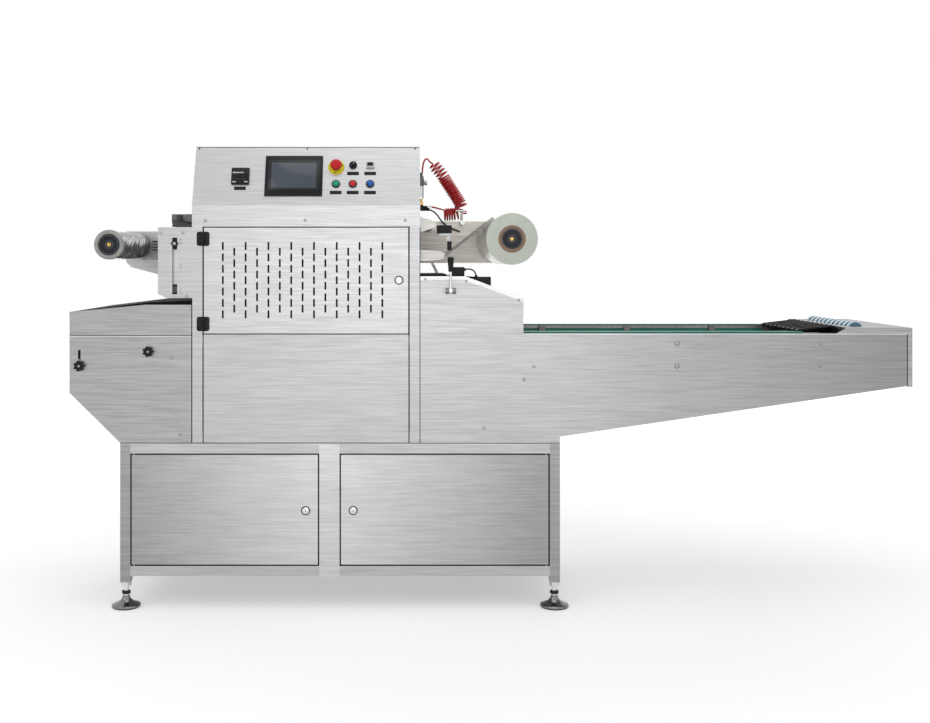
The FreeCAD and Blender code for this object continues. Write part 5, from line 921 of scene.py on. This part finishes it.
def drive_chain():
    """Roller chain in both guides: joined plates over rollers, along both runs and round the sprockets."""
    pitch, reach, z_axis = 12.7, 48.65, 891.35
    left, right = -1390.0, 1150.0
    joints = [(left + pitch * k, z_axis + reach) for k in range(201)]
    joints += [(right + reach * math.sin(math.radians(15 * k)), z_axis + reach * math.cos(math.radians(15 * k)))
               for k in range(1, 12)]
    joints += [(right - pitch * k, z_axis - reach) for k in range(201)]
    joints += [(left - reach * math.sin(math.radians(15 * k)), z_axis - reach * math.cos(math.radians(15 * k)))
               for k in range(1, 12)]
    for name, y in (("front", -225.5), ("back", 225.5)):
        bm = bmesh.new()
        for index, (x, z) in enumerate(joints):
            next_x, next_z = joints[(index + 1) % len(joints)]
            along = Vector((next_x - x, 0, next_z - z)).normalized()
            side = Vector((0, 1, 0))
            turn = Matrix((along, side, along.cross(side))).transposed().to_4x4()
            place = Matrix.Translation((x, y, z)) @ turn
            half = 4.6 if index % 2 else 6.3
            made = []
            for wall in (-half, half):
                plate = bmesh.ops.create_cube(bm, size=1.0, matrix=Matrix.Translation((pitch / 2, wall, 0))
                                              @ Matrix.Diagonal((pitch + 7.6, 1.5, 11.0, 1)))
                made += plate["verts"]
            pin = bmesh.ops.create_cone(bm, cap_ends=True, segments=8, radius1=3.9, radius2=3.9, depth=15,
                                        matrix=Matrix.Rotation(math.pi / 2, 4, "X"))
            made += pin["verts"]
            bmesh.ops.transform(bm, matrix=place, verts=made)
        chain = piece(bm, f"roller_chain_{name}", CHAIN, "frame")
        if name == "front":
            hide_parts("drive_chains")


def smooth_line(name, points, diameter=0.0):
    """A smooth open line through a hose's own route, given in millimetres."""
    curve = bpy.data.curves.new(name, "CURVE")
    curve.dimensions = "3D"
    spline = curve.splines.new("NURBS")
    spline.points.add(len(points) - 1)
    for spot, point in zip(spline.points, points):
        spot.co = (point[0] / 1000, point[1] / 1000, point[2] / 1000, 1)
    spline.order_u = 3
    spline.use_endpoint_u = True
    curve.resolution_u = 12 if len(points) < 30 else 3
    if diameter:
        curve.bevel_depth = diameter / 2000
        curve.bevel_resolution = 4
        curve.use_fill_caps = True
    line = bpy.data.objects.new(name, curve)
    bpy.context.scene.collection.objects.link(line)
    return line


def hose(name, points, diameter, material, replaced=()):
    """A hose or cable that goes from one fitting of the machine to another."""
    line = smooth_line(name, points, diameter)
    line.data.materials.append(material)
    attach(line, "frame")
    if replaced:
        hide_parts(*replaced)
    return line


def line_points(points):
    """Points read from a route's smooth line, in millimetres."""
    guide = smooth_line("route_guide", points)
    guide.data.resolution_u = 24
    mesh = bpy.data.meshes.new_from_object(guide)
    found = [1000 * vert.co for vert in mesh.vertices]
    bpy.data.meshes.remove(mesh)
    bpy.data.objects.remove(guide)
    return found


def coil_points(route, radius, thickness, pitches, per_turn=14):
    """The control points of a curly hose wound round a route; its pitch changes along the way."""
    axis = line_points(route)
    bends = []
    for index in range(len(axis)):
        before = axis[max(0, index - 5)]
        here = axis[index]
        after = axis[min(len(axis) - 1, index + 5)]
        first, second = here - before, after - here
        turned = first.angle(second) if first.length and second.length else 0
        bends.append(turned / max(1e-6, (first.length + second.length) / 2))
    travelled, turns, points = 0.0, 0.0, []
    up = Vector((0, 1, 0))
    due = 0.0
    for index in range(len(axis) - 1):
        step = axis[index + 1] - axis[index]
        along = step.normalized()
        across = (up - up.dot(along) * along).normalized()
        third = along.cross(across)
        parts = 12
        for part in range(parts):
            pitch = next(value for limit, value in pitches if travelled <= limit)
            room = max(0.3, 1 - radius * bends[index])
            pitch = max(pitch, thickness * 1.08 / room)
            travelled += step.length / parts
            turns += step.length / parts / pitch
            if turns * per_turn >= due:
                out = radius * min(1.0, turns)
                angle = 2 * math.pi * due / per_turn
                spot = axis[index] + step * (part / parts)
                points.append(spot + out * (math.cos(angle) * across + math.sin(angle) * third))
                due += 1
    return points


def air_hoses():
    rise = [(-227, 210, 1538), (-226, 210, 1556), (-223, 209, 1574), (-218, 208, 1588), (-211, 206, 1594),
            (-204, 202, 1590), (-199, 199, 1581)]
    coil = [(-190, 212, 1578), (-154, 214, 1540), (-131, 213, 1501), (-106, 214, 1463), (-89, 214, 1437),
            (-70, 214, 1403), (-82, 214, 1377), (-142, 214, 1377)]
    back = [(-148, 222, 1396), (-155, 225, 1398), (-163, 221, 1400), (-173, 214, 1403), (-190, 210, 1405.5)]
    turns = coil_points(coil, 22.5, 6.5, [(75, 14.5), (215, 8.3), (255, 11.5), (1000, 9.0)])
    points = rise + [tuple(point) for point in turns[7:]] + back
    hose("curly_red_hose", points, 6.5, RED_HOSE, ("red_hose_coil", "red_hose_ends"))
    supply = [(-206, 210, 1397), (-185, 210, 1391.5), (-167, 209, 1373), (-152, 207, 1350), (-134, 205, 1333),
              (-111, 205, 1321), (-91, 213, 1313.5), (-81, 229, 1311), (-79, 245.5, 1310.5)]
    hose("black_supply_hose", supply, 6, BLACK_HOSE, ("black_hoses",))
    short = [(-1076, -298, 1343), (-1071, -305, 1340), (-1060, -308, 1334), (-1046, -304, 1330),
             (-1034, -294, 1329), (-1031, -284, 1329)]
    hose("cylinder_hose", short, 6, BLACK_HOSE)
    cable = [(-89, -252, 1167), (-78, -252.6, 1169.5), (-66, -252, 1168.5), (-55.5, -251.4, 1163),
             (-49, -252, 1153.5), (-47.5, -252, 1142)]
    hose("switch_cable", cable, 5, BLACK_HOSE)


# Stage

def camera_and_light():
    scene = bpy.context.scene
    scene.view_settings.view_transform = "Standard"
    lens = bpy.data.cameras.new("photo_view")
    lens.lens = 44.88
    lens.sensor_width = 36
    lens.shift_x = 0.0699
    lens.shift_y = -0.1113
    lens.clip_end = 60
    camera = bpy.data.objects.new("photo_view", lens)
    camera.location = (-0.3134, -4.3, 1.2075)
    camera.rotation_euler = (math.pi / 2, 0, 0)
    scene.collection.objects.link(camera)
    scene.camera = camera
    lamps = (("left_softbox", (-3.4, -3.2, 3.2), 2.6, 27), ("right_softbox", (3.2, -3.0, 2.8), 2.6, 17),
             ("top_softbox", (0.0, -0.6, 4.2), 3.4, 30), ("back_softbox", (0.4, 3.2, 3.2), 2.4, 22),
             ("front_softbox", (-0.35, -5.2, 1.5), 2.4, 19))
    for name, place, size, power in lamps:
        lamp = bpy.data.lights.new(name, "AREA")
        lamp.shape = "DISK"
        lamp.size = size
        lamp.energy = power
        holder = bpy.data.objects.new(name, lamp)
        holder.location = place
        aim = Vector((0.0, 0.0, 0.9)) - Vector(place)
        holder.rotation_euler = aim.to_track_quat("-Z", "Y").to_euler()
        scene.collection.objects.link(holder)


def white_rays(tree):
    """One for the rays that a viewer, a mirror or glass sees by, and nothing for the rest."""
    rays = tree.nodes.new("ShaderNodeLightPath")
    first = tree.nodes.new("ShaderNodeMath")
    first.operation = "MAXIMUM"
    second = tree.nodes.new("ShaderNodeMath")
    second.operation = "MAXIMUM"
    tree.links.new(rays.outputs["Is Camera Ray"], first.inputs[0])
    tree.links.new(rays.outputs["Is Glossy Ray"], first.inputs[1])
    tree.links.new(first.outputs["Value"], second.inputs[0])
    tree.links.new(rays.outputs["Is Transmission Ray"], second.inputs[1])
    return second.outputs["Value"]


def floor_and_world():
    world = bpy.data.worlds.new("studio")
    bpy.context.scene.world = world
    world.use_nodes = True
    sky = world.node_tree.nodes["Background"]
    sky.inputs["Color"].default_value = (1, 1, 1, 1)
    level = world.node_tree.nodes.new("ShaderNodeMapRange")
    level.inputs["To Min"].default_value = 0.42
    level.inputs["To Max"].default_value = 1.0
    world.node_tree.links.new(white_rays(world.node_tree), level.inputs["Value"])
    world.node_tree.links.new(level.outputs["Result"], sky.inputs["Strength"])
    bm = bmesh.new()
    bmesh.ops.create_grid(bm, x_segments=1, y_segments=1, size=20)
    mesh = bpy.data.meshes.new("floor")
    bm.to_mesh(mesh)
    bm.free()
    floor = bpy.data.objects.new("floor", mesh)
    bpy.context.scene.collection.objects.link(floor)
    paint = finish("floor_paint", (0.86, 0.86, 0.86), 0.7, 0.0, {"Emission Color": (1, 1, 1, 1)})
    tree = paint.node_tree
    tinted(paint, grain(paint, (0.5, 0.5, 0.5)), (0.84, 0.84, 0.84), (0.88, 0.88, 0.88))
    place = tree.nodes.new("ShaderNodeTexCoord")
    far = tree.nodes.new("ShaderNodeVectorMath")
    far.operation = "LENGTH"
    fade = tree.nodes.new("ShaderNodeMapRange")
    fade.inputs["From Min"].default_value = 1.0
    fade.inputs["From Max"].default_value = 5.0
    fade.inputs["To Min"].default_value = 0.34
    fade.inputs["To Max"].default_value = 0.75
    glow = tree.nodes.new("ShaderNodeMath")
    glow.operation = "MULTIPLY"
    tree.links.new(place.outputs["Object"], far.inputs[0])
    tree.links.new(far.outputs["Value"], fade.inputs["Value"])
    tree.links.new(fade.outputs["Result"], glow.inputs[0])
    tree.links.new(white_rays(tree), glow.inputs[1])
    tree.links.new(glow.outputs["Value"], shader_of(paint).inputs["Emission Strength"])
    mesh.materials.append(paint)


def dress_solids():
    dress(STEEL, "tower_panels", "tower_side_panels", "tower_posts", "base_skins", "right_hood_sides", "slot_plate",
          "rewind_plate", "base_rails")
    dress(SIDE_SHADED_STEEL, "conveyor_sides")
    dress(LEFT_SHADED_STEEL, "left_side_plates")
    dress(DOOR_LIT_STEEL, "vent_door", "control_box")
    dress(BASE_LIT_STEEL, "base_door_left", "base_door_right")
    dress(POST_LIT_STEEL, "base_posts")
    dress(FRAME_STEEL, "base_cross_rails", "conveyor_beams", "bottom_pans")
    dress(PALE_STEEL, "right_hood_top")
    dress(ARM_STEEL, "idler_arms")
    dress(CARRIER_STEEL, "tray_carriers")
    dress(DARK_COVER, "left_hood_cover")
    dress(FILM_STEEL, "unwind_plate")
    dress(END_SHADED_STEEL, "end_table")
    dress(MACHINED, "sprocket_shafts")
    dress(ALUMINIUM, "idler_rollers", "button_rings", "panel_instruments")
    dress(BRIGHT, "foot_stems", "clamp_lever")
    dress(RUBBER, "foot_pads")
    dress(BLACK, "star_knobs", "slot_clamp", "vent_hinge_plates", "vent_hinge_leaves", "guard_switch", "eye_mark_sensor",
          "selector_knob", "touch_screen")
    dress(GREY_BLOCK, "rewind_cylinder", "air_regulator")
    dress(CHUCK, "waste_shaft", "supply_shaft")
    dress(CARDBOARD, "supply_core")
    dress(SUPPLY_FILM, "supply_film")
    dress(WASTE_FILM, "waste_film")
    dress(WEB, "film_web")
    dress(CHAIN, "drive_chains")
    dress(GUIDE_GREEN, "chain_guides")
    dress(RAMP_BLACK, "discharge_ramp")
    dress(ROLLER_PALE, "ribbed_roller")
    dress(RED_HOSE, "red_hose_coil", "red_hose_ends")
    dress(BLACK_HOSE, "black_hoses")
    dress(YELLOW, "estop_plate")
    dress(RED, "estop_head")
    dress(GREEN_CAP, "start_button")
    dress(RED_CAP, "stop_button")
    dress(BLUE_CAP, "reset_button")


dress_solids()
panel_screws()
door_locks()
vent_hinges()
touch_screen()
temperature_meter()
square_switch()
label_strips()
push_buttons()
selector_switch()
emergency_stop()
panel_bend()
joint_lines()
shade_behind_vent()
levelling_feet()
ringed_roller()
ramp_ribs()
slot_backing()
star_knob_caps()
waste_roll()
air_valve("waste_air_valve", "waste_roll", -1328, 1254)
air_valve("supply_air_valve", "supply_roll", 77, 1274)
chuck_jaws("waste_chuck", "waste_roll", -1328, 1254)
chuck_jaws("supply_chuck", "supply_roll", 77, 1274)
rewind_block()
clamp_lever()
lever_barrels()
guard_switch()
mark_sensor()
air_regulator()
web_edge()
hose_rest()
drive_chain()
air_hoses()
camera_and_light()
floor_and_world()
